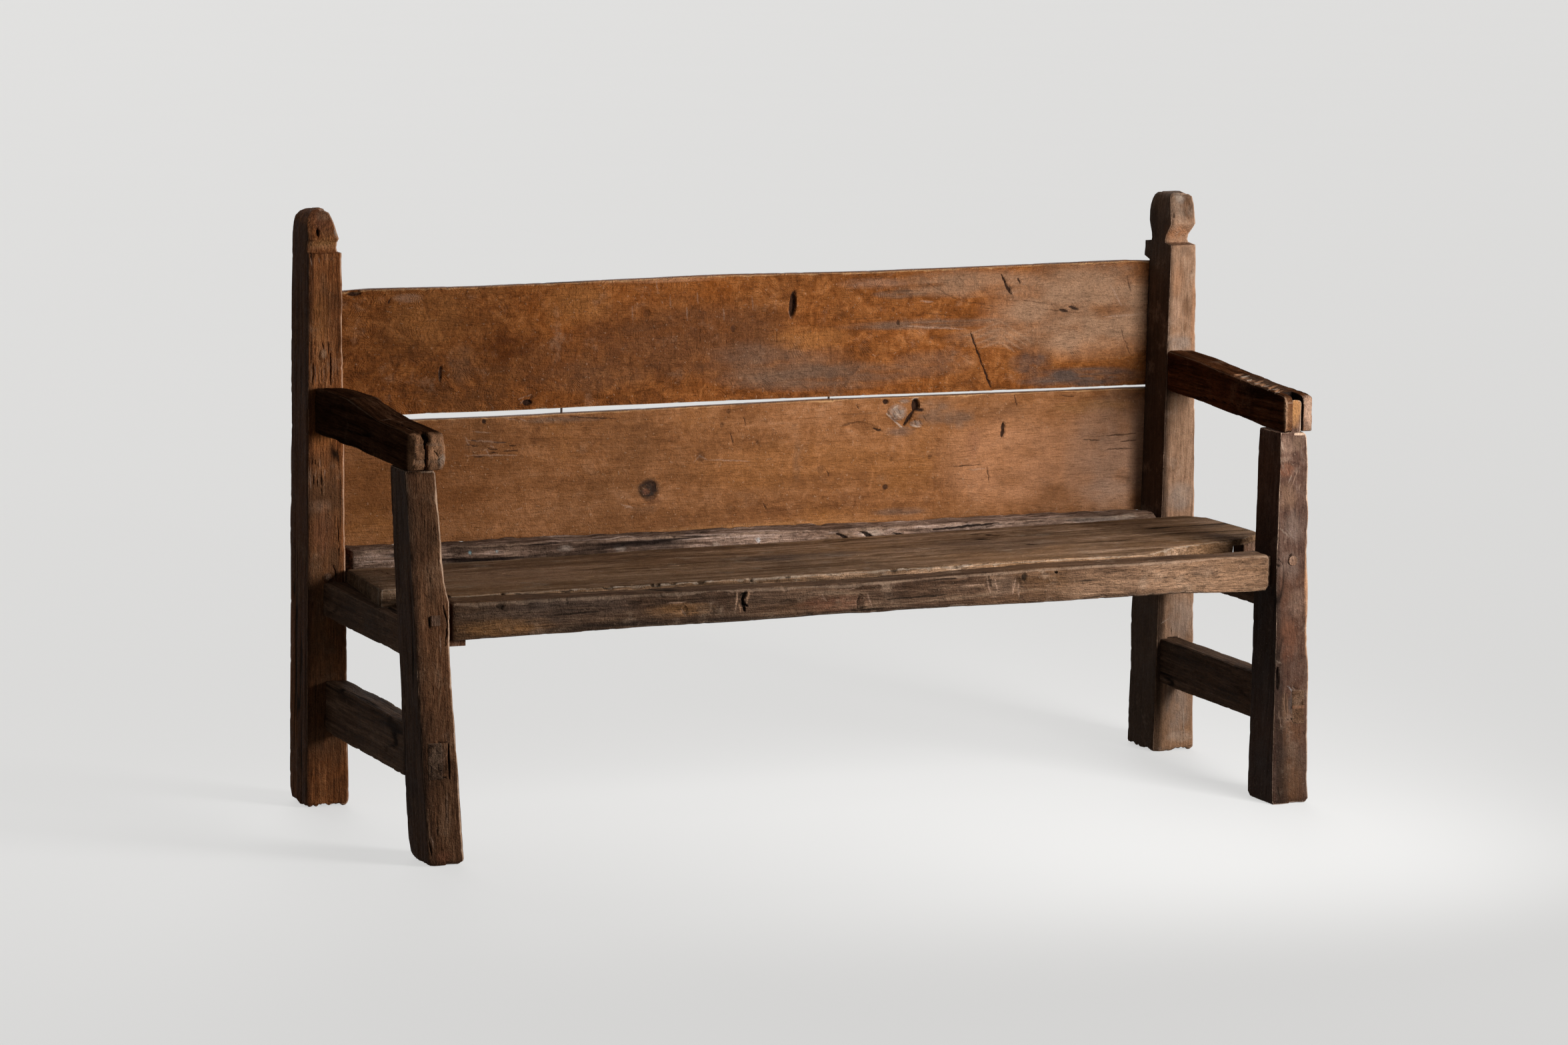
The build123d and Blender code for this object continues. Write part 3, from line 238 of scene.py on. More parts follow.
def weather(piece, axis, sections, look, form=None):
    # rounds the arrises unevenly, then works the faces with waves, facets, grain, cracks and marks
    refine(piece, look)
    mesh = piece.data
    seed = look["seed"]
    points = readPoints(mesh)
    place = points[:, axis]
    stations = [s[0] for s in sections]
    sides = [i for i in range(3) if i != axis]
    middle, half = np.empty_like(points), np.empty_like(points)
    middle[:, axis] = (stations[0] + stations[-1]) / 2
    half[:, axis] = (stations[-1] - stations[0]) / 2
    for k, i in enumerate(sides):
        low = np.interp(place, stations, [s[1 + 2 * k] for s in sections])
        high = np.interp(place, stations, [s[2 + 2 * k] for s in sections])
        middle[:, i], half[:, i] = (low + high) / 2, (high - low) / 2
    q = points - middle
    corner = (q[:, sides[0]] > 0) * 3.7 + (q[:, sides[1]] > 0) * 9.1
    run = np.stack([place / 60, corner, corner * 0], 1)
    bite = np.stack([place / look.get("chipRun", 14), corner, corner * 0 + 5], 1)
    radius = look["round"] * (0.95 + 0.75 * noise(run, seed))
    radius = radius + look.get("chip", 0) * np.clip(noise(bite, seed + 3) * 2.2 - 0.9, 0, 1)
    shown = np.full(len(points), look.get("edged", 0.8))
    for first, second, extra in look.get("arris", []):  # arrises worn more by their sides, their pale tone partly wear and partly a painted highlight where they face the lamp
        there = (q[:, sides[0]] * first > 0) & (q[:, sides[1]] * second > 0)
        radius = radius + there * extra * (0.85 + 0.35 * noise(run * (2, 1, 1), seed + 12))
        shown[there] = 1
    radius = np.clip(radius, 0.4, 0.8 * half.min(1))[:, None]
    inner = np.clip(q, radius - half, half - radius)
    d = q - inner
    reach = np.linalg.norm(d, axis=1)[:, None]
    edge = np.sort(np.abs(d) / radius, axis=1)[:, 1] * 1.41 * shown
    points = middle + inner + d / reach * radius
    if form:
        points = form(points)
    writePoints(mesh, points)
    normals = np.empty(len(points) * 3)
    mesh.vertex_normals.foreach_get("vector", normals)
    normals = normals.reshape(-1, 3)
    along, across = points[:, axis], points[:, sides]
    grain = np.column_stack([along, across])
    sway = noise(grain / (170, 60, 60), seed + 5) * 6
    bent = grain + np.column_stack([along * 0, sway, -sway])
    wave = roughNoise(grain / (230, 90, 90), seed + 1, 2) * look["wave"]
    hew = (np.abs(noise(grain / look.get("facet", (75, 32, 32)), seed + 2)) - 0.35) * look["hew"]
    ridge = noise(bent / (95, 7, 7), seed + 4) * look["ridge"]
    line = 1 - np.abs(noise(bent / (260, 15, 15), seed + 6)) / 0.13
    where = np.clip(noise(grain / (190, 45, 45), seed + 7) * 2 + look.get("crackShare", 0.1), 0, 1)
    crack = np.clip(line, 0, 1) * where
    offset = wave + hew + ridge - crack * look["crack"]
    hollow = crack * 0.9
    ragged = points + noise(points / 6, seed + 8)[:, None] * 0.9
    for centre, half, tilt, deep, dark in look.get("dents", []):
        amount = np.clip(oval(ragged, centre, half, tilt) * 1.6, 0, 1)
        offset = offset - amount * deep
        hollow = hollow + amount * dark
    for start, end, width, deep, dark in look.get("cuts", []):
        amount = stroke(ragged, start, end, width)
        offset = offset - amount * deep
        hollow = np.maximum(hollow, amount * dark)
    points = points + normals * offset[:, None]
    points[:, 2] = np.maximum(points[:, 2], 0)
    writePoints(mesh, points)
    keepOn(mesh, "hollow", "FLOAT", np.clip(hollow, 0, 1))
    keepOn(mesh, "edge", "FLOAT", np.clip(edge, 0, 1))
    keepOn(mesh, "tint", "FLOAT_COLOR", paintMarks(points, ragged, look))
    pickPiece(piece)
    bpy.ops.object.shade_smooth_by_angle(angle=math.radians(55))
    return piece


def joinPieces(pieces):
    clearSelection()
    for piece in pieces:
        piece.select_set(True)
    bpy.context.view_layer.objects.active = pieces[0]
    bpy.ops.object.join()
    return bpy.context.object


def setUp(piece, finish, slot, *nodes):
    piece.data.materials.clear()
    piece.data.materials.append(finish)
    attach(piece, "root")
    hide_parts(*nodes)
    print("made", piece.name, len(piece.data.polygons), "faces")


# finishes
class Wire:
    # one socket of a finish; sums on it add Math nodes
    def __init__(self, tree, socket=None):
        self.tree, self.socket = tree, socket

    def add(self, kind, settings, sockets, out=0):
        node = self.tree.nodes.new(kind)
        for key, value in settings.items():
            if key == "stops":
                ramp = node.color_ramp.elements
                while len(ramp) < len(value):
                    ramp.new(1)
                for stop, (at, colour) in zip(ramp, value):
                    stop.position, stop.color = at, (*colour, 1)
            else:
                setattr(node, key, value)
        for key, value in sockets.items():
            if isinstance(value, Wire):
                self.tree.links.new(value.socket, node.inputs[key])
            elif isinstance(value, tuple) and len(value) == 3 and len(node.inputs[key].default_value) == 4:
                node.inputs[key].default_value = (*value, 1)
            else:
                node.inputs[key].default_value = value
        return Wire(self.tree, node.outputs[out])

    def sum(self, way, a, b):
        return self.add("ShaderNodeMath", {"operation": way}, {0: a, 1: b})

    def __add__(self, other):
        return self.sum("ADD", self, other)

    def __radd__(self, other):
        return self.sum("ADD", other, self)

    def __sub__(self, other):
        return self.sum("SUBTRACT", self, other)

    def __rsub__(self, other):
        return self.sum("SUBTRACT", other, self)

    def __mul__(self, other):
        return self.sum("MULTIPLY", self, other)

    def __rmul__(self, other):
        return self.sum("MULTIPLY", other, self)

    def between(self, low, high):
        # 0 below low, 1 above high
        return self.add("ShaderNodeMapRange", {"clamp": True, "interpolation_type": "SMOOTHSTEP"},
                        {"Value": self, "From Min": low, "From Max": high})

    def scaled(self, stretch, shift=(0, 0, 0)):
        return self.add("ShaderNodeVectorMath", {"operation": "MULTIPLY_ADD"},
                        {0: self, 1: stretch, 2: shift})

    def noise(self, stretch, detail=3, rough=0.55, shift=(0, 0, 0), out=0, warp=0):
        # stretch: how fine, on each axis or on all three
        stretch = stretch if isinstance(stretch, tuple) else (stretch,) * 3
        return self.add("ShaderNodeTexNoise", {"noise_dimensions": "3D"},
                        {"Vector": self.scaled(stretch, shift), "Scale": 1, "Detail": detail,
                         "Roughness": rough, "Distortion": warp}, out)

    def ramp(self, stops):
        return self.add("ShaderNodeValToRGB", {"stops": stops}, {0: self})

    def bump(self, strength, distance):
        return self.add("ShaderNodeBump", {}, {"Height": self, "Strength": strength, "Distance": distance})

    def lit(self, amount):
        # a colour made lighter or darker
        return self.add("ShaderNodeVectorMath", {"operation": "SCALE"}, {0: self, "Scale": amount})

    def mix(self, other, amount):
        return self.add("ShaderNodeMix", {"data_type": "RGBA"}, {0: amount, 6: self, 7: other}, 2)


def newFinish(name):
    finish = bpy.data.materials.new(name)
    finish.use_nodes = True
    wire = Wire(finish.node_tree)
    place = wire.add("ShaderNodeTexCoord", {}, {}, "Object")
    return finish, finish.node_tree.nodes["Principled BSDF"], wire, place


def feed(shader, wires):
    for name, wire in wires.items():
        wire.tree.links.new(wire.socket, shader.inputs[name])


grainAlong = {"x": (0, 0, 0), "y": (0, 0, math.radians(-90)), "z": (0, math.radians(90), 0)}


def woodFinish(name, look, marked=True):
    finish, shader, wire, place = newFinish(name)
    turn, shift = grainAlong[look["grain"]], look.get("shift", (0, 0, 0))
    grain = wire.add("ShaderNodeMapping", {}, {"Vector": place, "Rotation": turn, "Location": shift})
    # the grain sways, in wide and narrow waves
    wide = grain.noise((1.3, 7, 7), 2, 0.5, out=1)
    narrow = grain.noise((7, 45, 45), 2, 0.5, out=1)
    sway = look["sway"]
    bent = wide.scaled((0, sway, sway), grain)
    bent = narrow.scaled((0, sway * 0.15, sway * 0.15), bent)
    bands = bent.noise((1.6, look["bands"], look["bands"]), 5, 0.62)
    streak = bent.noise(look.get("streaks", (6, 140, 140)), 4, 0.65)
    fibre = bent.noise((40, 430, 430), 3, 0.6).between(0.33, 0.67)
    poreAt = look.get("poreAt", 0.57)
    pores = bent.noise((60, 620, 620), 2, 0.5).between(poreAt, poreAt + 0.12)
    patch = place.noise(3.2, 5, 0.62, (4, 2, 9))
    mottle = place.noise(17, 5, 0.68, (1, 8, 3))
    curl = place.noise(34, 4, 0.6, (6, 2, 4), warp=1.2)
    dapple = place.noise(120, 3, 0.6, (3, 1, 6)).between(0.32, 0.68)
    speck = place.noise(190, 1, 0.5, (7, 5, 1)).between(0.68, 0.76)
    grit = place.noise(380, 3, 0.7, (8, 4, 2)).between(0.3, 0.7)
    curly = look.get("curly", 0.1)
    tone = bands * look["figure"] + streak * (1 - look["figure"] - curly) + curl * curly
    calm = look.get("calm", 0.12)
    colour = tone.between(0.5 - calm, 0.5 + calm).ramp(look["ramp"])
    colour = colour.mix(look["warm"], patch.between(0.5, 0.68) * look["warmth"])
    colour = colour.mix(look["dusk"], patch.between(0.5, 0.32) * look["dusky"])
    if marked:
        tint = wire.add("ShaderNodeAttribute", {"attribute_name": "tint"}, {}, 0)
        amount = wire.add("ShaderNodeAttribute", {"attribute_name": "tint"}, {}, 3)
        colour = colour.mix(tint.lit(0.55 + 0.9 * tone), amount)
    colour = colour.mix(look["bare"], mottle.between(0.55, 0.72) * look["mottled"])
    colour = colour.mix(look["dusk"], mottle.between(0.47, 0.30) * look["mottled"])
    colour = colour.lit(1 - look["fibrous"] + 2 * look["fibrous"] * (0.85 * fibre + 0.15 * dapple))
    colour = colour.lit(0.86 + 0.28 * grit)
    colour = colour.mix(look["dusk"], pores * look["porous"])
    colour = colour.mix(look["bare"], speck * look["specks"])
    rough = look["dull"] + 0.3 * (mottle - 0.5) + 0.12 * (fibre - 0.5)
    height = look.get("grained", 1) * streak + 0.3 * fibre - 0.4 * pores + 0.9 * mottle
    height = height + 0.45 * look["dimpled"] * dapple + 0.3 * speck + 0.3 * grit
    if "saw" in look:
        lines = place.noise(look["saw"], 2, 0.6)
        height = height + look["sawDepth"] * lines * patch.between(0.35, 0.6)
        colour = colour.lit(0.93 + 0.14 * lines)
    if "rings" in look:  # fine ridges that flow in curls, as contour lines do
        field = place.noise((6, 9, 9), 2, 0.45, (2, 9, 4), warp=0.5)
        ridges = wire.sum("SINE", field * look["rings"], 0) * mottle.between(0.3, 0.6)
        height = height + look["ringed"] * ridges * patch.between(0.66, 0.45)
        colour = colour.lit(1 + 0.03 * ridges)
    if marked:
        hollow = wire.add("ShaderNodeAttribute", {"attribute_name": "hollow"}, {}, 2)
        edge = wire.add("ShaderNodeAttribute", {"attribute_name": "edge"}, {}, 2)
        # pale worn edges; on the listed arrises the pale tone is also a painted highlight
        worn = (edge * (0.35 + mottle)).between(0.5, 0.95)
        colour = colour.mix(look.get("arrisTone", look["bare"]), worn * look["worn"])
        colour = colour.mix(look["crackTone"], hollow.between(0.08, 0.75) * 0.94)
        rough = rough + 0.2 * hollow
    feed(shader, {"Base Color": colour, "Roughness": rough, "Normal": height.bump(look["relief"], 0.003)})
    shader.inputs["Specular IOR Level"].default_value = look.get("shine", 0.025)
    return finish


# stains, bare patches, painted shade and painted highlights, by name
tones = {
    "deepOrange": (0.085, 0.022, 0.003),
    "orange": (0.28, 0.108, 0.03),
    "brown": (0.125, 0.058, 0.028),
    "greyBrown": (0.135, 0.082, 0.054),
    "tan": (0.31, 0.178, 0.105),
    "stain": (0.075, 0.056, 0.047),
    "gold": (0.385, 0.176, 0.084),
    "buff": (0.43, 0.215, 0.112),
    "russet": (0.15, 0.052, 0.014),
    "pink": (0.36, 0.225, 0.155),
    "pale": (0.45, 0.34, 0.26),
    # near black: soot in the knot and holes, and painted shade on left faces, under the front rail and in
    # the arm's slot
    "soot": (0.02, 0.013, 0.01),
    "rust": (0.17, 0.066, 0.035),
    "grey": (0.24, 0.185, 0.15),
    "umber": (0.098, 0.037, 0.015),
    "white": (0.55, 0.52, 0.5),
    "cyan": (0.25, 0.42, 0.45),
    "red": (0.2, 0.075, 0.042),
    "amber": (0.35, 0.165, 0.062),
}


# marks are set on a face by two numbers; these give the place in full
def front(y):
    return lambda a, b: (a, y, b)


def raked(foot, lean):
    return lambda a, b: (a, round(foot + lean * b), b)


def flat(z):
    return lambda a, b: (a, b, z)


def spots(place, half, rows, *shared):
    # ovals: middle, half sizes, a tilt where there is one, and what they do
    marks = []
    for a, b, wide, tall, *rest in rows:
        rest = [*rest, *shared]
        tilt = [0] if len(rest) == 2 else []
        marks.append((place(a, b), half(wide, tall), *tilt, *rest))
    return marks


def scores(place, rows, *shared):
    # lines: start, end, width and what they do
    return [(place(a, b), place(c, d), *rest, *shared) for a, b, c, d, *rest in rows]


def inFull(rows, *shared):
    return [(*row, *shared) for row in rows]


# rear posts: hewn, tapering, with carved heads
leftPost = {
    "sections": [
        (0, -859, -783, 209, 282), (7, -861, -782.6, 208, 291), (22, -861.5, -782.9, 208, 300),
        (50, -861.5, -783.4, 208, 303), (300, -861.5, -788.1, 208, 303), (640, -861.5, -794.4, 208, 303),
        (963.5, -861.5, -800.5, 208, 303), (965.5, -861.5, -805, 218, 302),
        (972, -861.5, -805.5, 221, 301), (981, -861.5, -805, 217, 301), (988, -861.5, -804.5, 210, 300.5),
        (1003, -861.5, -808, 215, 300), (1012, -861, -810, 219, 297), (1023, -858.5, -813.5, 225, 293),
        (1031, -853, -816, 230, 285), (1036, -847, -820, 237, 273), (1038, -840, -826, 246, 263),
    ],
    "seed": 3, "round": 2.4, "chip": 3, "chipRun": 9, "wave": 1.0, "hew": 1.2, "ridge": 0.6, "crack": 0.9,
    "crackShare": -0.3, "fray": 7, "arris": [(1, -1, 6.5)], "edged": 0.64,
    "dents": spots(front(208), front(9), [
        (-858, 961, 2.1, 4.6, 1.2, 0.25), (-852, 962, 2.1, 6.2, 1.4, 0.3), (-842, 959, 2.1, 4.6, 1, 0.2),
        (-834, 789, 8.4, 13, -2.6, 0), (-825, 403, 8.4, 7, -4.5, 0.1), (-838, 756, 10.8, 17, 1.2, 0.1),
    ]) + [
        ((-843, 216, 1000), (2.4, 34, 8.6), 0, 5, 0.8),
    ],
    "cuts": scores(front(208), [
        (-822, 792, -821, 738, 1.7, 2.6, 0.6), (-852, 777, -853, 738, 1.5, 2.2, 0.6),
        (-836, 810, -834, 801, 1.6, 2, 0.6), (-850, 821, -849, 791, 1.3, 1.4, 0.6),
        (-857, 830, -857, 775, 1.2, 1.2, 0.55), (-826, 813, -825, 791, 1.4, 1.5, 0.6),
        (-845, 772, -845, 741, 1, 1, 0.5), (-838, 769, -838, 740, 1, 1, 0.5),
        (-830, 772, -828, 743, 1, 1, 0.5), (-854, 609, -853, 598, 1.3, 1.8, 0.55),
        (-848, 609, -848, 600, 1.2, 1.8, 0.55), (-843, 604, -843, 594, 1.2, 1.8, 0.5),
        (-837, 592, -836, 564, 1.4, 2, 0.6), (-852, 585, -850, 565, 1.3, 1.8, 0.55),
        (-844, 575, -844, 561, 1.2, 1.8, 0.5), (-831, 586, -830, 575, 1.2, 1.4, 0.6),
        (-837, 561, -836, 546, 1.1, 1.2, 0.6), (-820, 609, -820, 594, 1, 1, 0.45),
        (-807, 508, -805, 436, 1.3, 1.6, 0.6), (-814, 424, -810, 401, 2, 2.4, 0.7),
        (-836, 921, -835, 878, 1.4, 0.8, 0.35), (-838, 266, -837, 225, 1.2, 1, 0.5),
        (-814, 329, -812, 288, 1.2, 1, 0.5), (-845, 178, -844, 120, 1.2, 1, 0.5),
    ]),
    "scrapes": scores(front(208), [
        (-859, 590, -855, 560, 1.8, "pink", 0.55), (-831, 592, -830, 576, 1.6, "pink", 0.55),
        (-858, 958, -856, 942, 1.8, "pink", 0.55), (-843, 958, -842, 947, 1.6, "pink", 0.55),
        (-856, 776, -856, 742, 1.3, "tan", 0.55), (-849, 775, -848, 740, 1.3, "pink", 0.55),
        (-841, 771, -841, 740, 1.3, "tan", 0.55), (-833, 774, -833, 742, 1.3, "pink", 0.55),
        (-827, 788, -826, 756, 1.3, "tan", 0.55), (-818, 781, -816, 740, 1.3, "tan", 0.55),
        (-856, 595, -856, 579, 1.3, "tan", 0.55), (-847, 595, -847, 578, 1.3, "pink", 0.55),
        (-841, 592, -841, 562, 1.3, "tan", 0.55), (-832, 571, -832, 544, 1.3, "tan", 0.55),
        (-814, 395, -794, 380, 3.4, "grey", 0.55), (-840, 609, -838, 595, 1.4, "pink", 0.55),
    ]),
    "tints": spots(front(208), front(9), [
        (-834, 792, 7.1, 10.4, "tan", 0.75), (-825, 404, 9.7, 8.2, "grey", 0.8),
        (-841, 850, 19, 57, "orange", 0.35), (-833, 666, 26, 46, "orange", 0.3),
        # these brown ovals darken the post from the seat down as painted shade
        (-832, 539, 53, 93, "brown", 0.85), (-832, 411, 53, 93, "brown", 0.9),
        (-831, 295, 56, 93, "brown", 0.85), (-830, 166, 56, 117, "brown", 0.9),
        (-835, 913, 9.6, 25, "brown", 0.45), (-833, 481, 24, 46, "red", 0.3),
        (-839, 528, 24, 14, "pink", 0.25),
    ]) + spots(front(216), front(34), [
        (-832, 1023, 29, 27, "rust", 0.8), (-829, 1028, 17, 11.4, "tan", 0.6),
        (-827, 997, 16, 6.9, "brown", 0.6), (-831, 980, 41, 10.3, "amber", 0.95),
        (-831, 974, 36, 3.4, "gold", 0.8), (-809, 999, 6, 10.3, "pale", 0.9),
    ]) + [
        # painted shade: near black down the post's left face, the side away from the lamp
        ((-865, 262, 480), (14, 500, 3000), 0, "soot", 0.72),
    ],
    "finish": {
        "grain": "z", "sway": 0.03, "bands": 55, "streaks": (16, 230, 230), "figure": 0.35, "curly": 0.15,
        "calm": 0.17, "fibrous": 0.2, "dimpled": 1.1, "arrisTone": (0.62, 0.37, 0.24),
        "ramp": [
            (0, (0.069, 0.022, 0.007)), (0.45, (0.208, 0.070, 0.023)), (0.8, (0.325, 0.125, 0.046)),
            (1, (0.448, 0.198, 0.084)),
        ],
        "warm": (0.304, 0.099, 0.029), "warmth": 0.55, "dusk": (0.040, 0.018, 0.009), "dusky": 0.5,
        "bare": (0.31, 0.185, 0.115), "mottled": 0.32, "porous": 0.5, "poreAt": 0.6, "worn": 0.92,
        "specks": 0.15, "crackTone": (0.010, 0.006, 0.004), "dull": 0.7, "relief": 0.9,
    },
}
rightPost = {
    "sections": [
        (0, 778, 860, 209, 314), (6, 777, 861.4, 208, 315), (300, 780, 854.6, 208, 315),
        (640, 783.5, 846.9, 208, 315), (939.5, 786.5, 840, 208, 315), (942, 787, 838.5, 233, 290),
        (947, 787, 837, 234, 288), (956, 787, 837.5, 230, 289.5), (968, 787, 839, 219, 295),
        (978, 787, 840, 210.5, 299.5), (996, 787.6, 839.2, 214, 301), (1008, 788.4, 838.8, 217.5, 299),
        (1019, 789.8, 838, 221, 295), (1026, 791, 836.5, 223.5, 290), (1031, 794, 833, 227, 285),
        (1033, 798, 830, 231, 279),
    ],
    "seed": 8, "round": 2.8, "chip": 3, "chipRun": 10, "wave": 1.2, "hew": 1.8, "ridge": 0.25,
    "crack": 0.3, "crackShare": -2, "fray": 7, "arris": [(1, -1, 5)], "edged": 0.64,
    "dents": spots(front(208), front(9), [
        (828, 875, 5.5, 22, 1.2, 0.05), (799, 772, 9.6, 22, 1.2, 0.05), (829, 777, 6.9, 17, 1.2, 0.1),
        (813, 581, 16, 25, 1, 0.05),
    ]) + spots(front(220), front(34), [
        (793, 993, 2.8, 6.1, 2.5, 0.5), (821, 1006, 8.2, 20, 2.4, 0.05), (804, 985, 10.9, 6.1, 1.6, 0.05),
    ]),
    "cuts": scores(front(208), [
        (801, 213, 821, 213, 2.4, 2.6, 0.8), (808, 236, 809, 216, 1.2, 1, 0.5),
        (820, 158, 824, 83, 1.1, 0.8, 0.4), (834, 245, 838, 220, 1.2, 0.8, 0.4),
        (798, 147, 801, 97, 1.1, 0.8, 0.4), (837, 51, 840, 13, 1.3, 1, 0.45),
    ]) + [
        ((804, 220, 1014), (815, 220, 983), 1.4, 1, 0.4),
        ((815, 220, 1033), (818, 220, 1015), 1.2, 0.8, 0.35),
    ],
    "scrapes": scores(front(208), [
        (787, 241, 804, 250, 1.8, "pale", 0.5), (791, 210, 796, 147, 1.8, "pale", 0.5),
        (789, 191, 800, 172, 1.8, "pale", 0.5), (838, 76, 841, 26, 1.8, "pale", 0.5),
    ]),
    "tints": spots(front(208), front(9), [
        (816, 928, 15, 11, "greyBrown", 0.5), (801, 876, 16, 37, "gold", 0.35),
        (823, 824, 12, 27, 12, "brown", 0.6), (819, 792, 5.4, 12, "brown", 0.6),
        (807, 760, 30, 20, "grey", 0.6), (799, 815, 10.9, 32, "pink", 0.4), (818, 605, 33, 74, "tan", 0.4),
        (819, 476, 33, 32, "grey", 0.6), (827, 562, 8.2, 8.6, "brown", 0.35),
        (829, 245, 33, 50, "grey", 0.5), (824, 83, 33, 63, "grey", 0.55),
        (844, 207, 11.1, 25, "brown", 0.4), (832, 26, 33, 13, "pale", 0.4),
        (836, 802, 5.4, 111, "gold", 0.5),
    ]) + spots(front(220), front(34), [
        (813, 1014, 35, 37, "greyBrown", 0.9), (811, 1021, 12, 8.5, "grey", 0.6),
        (827, 999, 6.9, 11, "pale", 0.5), (825, 1006, 9.6, 29, "brown", 0.6),
        (807, 1028, 10.9, 11, "pale", 0.6), (807, 960, 41, 22, "gold", 0.95),
        (810, 948, 30, 6.1, "tan", 0.6),
    ]) + [
        # painted shade: near black down the post's left face beside the boards, away from the lamp
        ((781, 268, 560), (15, 500, 3000), 0, "soot", 0.8),
    ],
    "finish": {
        "grain": "z", "sway": 0.035, "bands": 30, "streaks": (14, 200, 200), "figure": 0.35, "curly": 0.25,
        "calm": 0.19, "fibrous": 0.14, "dimpled": 0.9, "arrisTone": (0.66, 0.42, 0.29), "shift": (3, 1, 2),
        "ramp": [
            (0, (0.142, 0.075, 0.043)), (0.45, (0.268, 0.149, 0.088)), (0.8, (0.353, 0.207, 0.128)),
            (1, (0.422, 0.268, 0.174)),
        ],
        "warm": (0.353, 0.182, 0.092), "warmth": 0.55, "dusk": (0.085, 0.052, 0.036), "dusky": 0.4,
        "bare": (0.43, 0.30, 0.215), "mottled": 0.35, "porous": 0.35, "poreAt": 0.62, "worn": 0.85,
        "specks": 0.1, "crackTone": (0.016, 0.009, 0.006), "dull": 0.66, "relief": 0.8,
    },
}


def frayed(look):
    # splintered end grain at the foot
    def form(p):
        worn = np.clip(roughNoise(p * (0.07, 0.05, 0), look["seed"] + 40) * 1.7 + 0.25, 0, 1)
        return np.column_stack([p[:, :2], np.maximum(p[:, 2], worn * look["fray"])])
    return form


def cutRebate(piece, xLow, xHigh, yFloor, zLow, zHigh):
    # the boards' seat in the back of a post, pushed in and closed up
    points = readPoints(piece.data)
    inside = (points[:, 0] > xLow) & (points[:, 0] < xHigh) & (points[:, 2] > zLow) & (points[:, 2] < zHigh)
    points[:, 1] = np.where(inside, np.minimum(points[:, 1], yFloor), points[:, 1])
    writePoints(piece.data, points)
    pickPiece(piece)
    bpy.ops.object.mode_set(mode="EDIT")
    bpy.ops.mesh.select_all(action="SELECT")
    bpy.ops.mesh.remove_doubles(threshold=0.0002)
    bpy.ops.object.mode_set(mode="OBJECT")


for name, look, span, top in (
    ("rear_post_left", leftPost, (-835.7, -700), 894),
    ("rear_post_right", rightPost, (700, 826.5), 907),
):
    post = hewTimber(name + "_hewn", 2, look["sections"], 5.5, 2.8)
    weather(post, 2, look["sections"], look, frayed(look))
    cutRebate(post, *span, 292.5, 440, top)
    setUp(post, woodFinish(name.replace("_", " ") + " wood", look["finish"]), "post_wood", name)

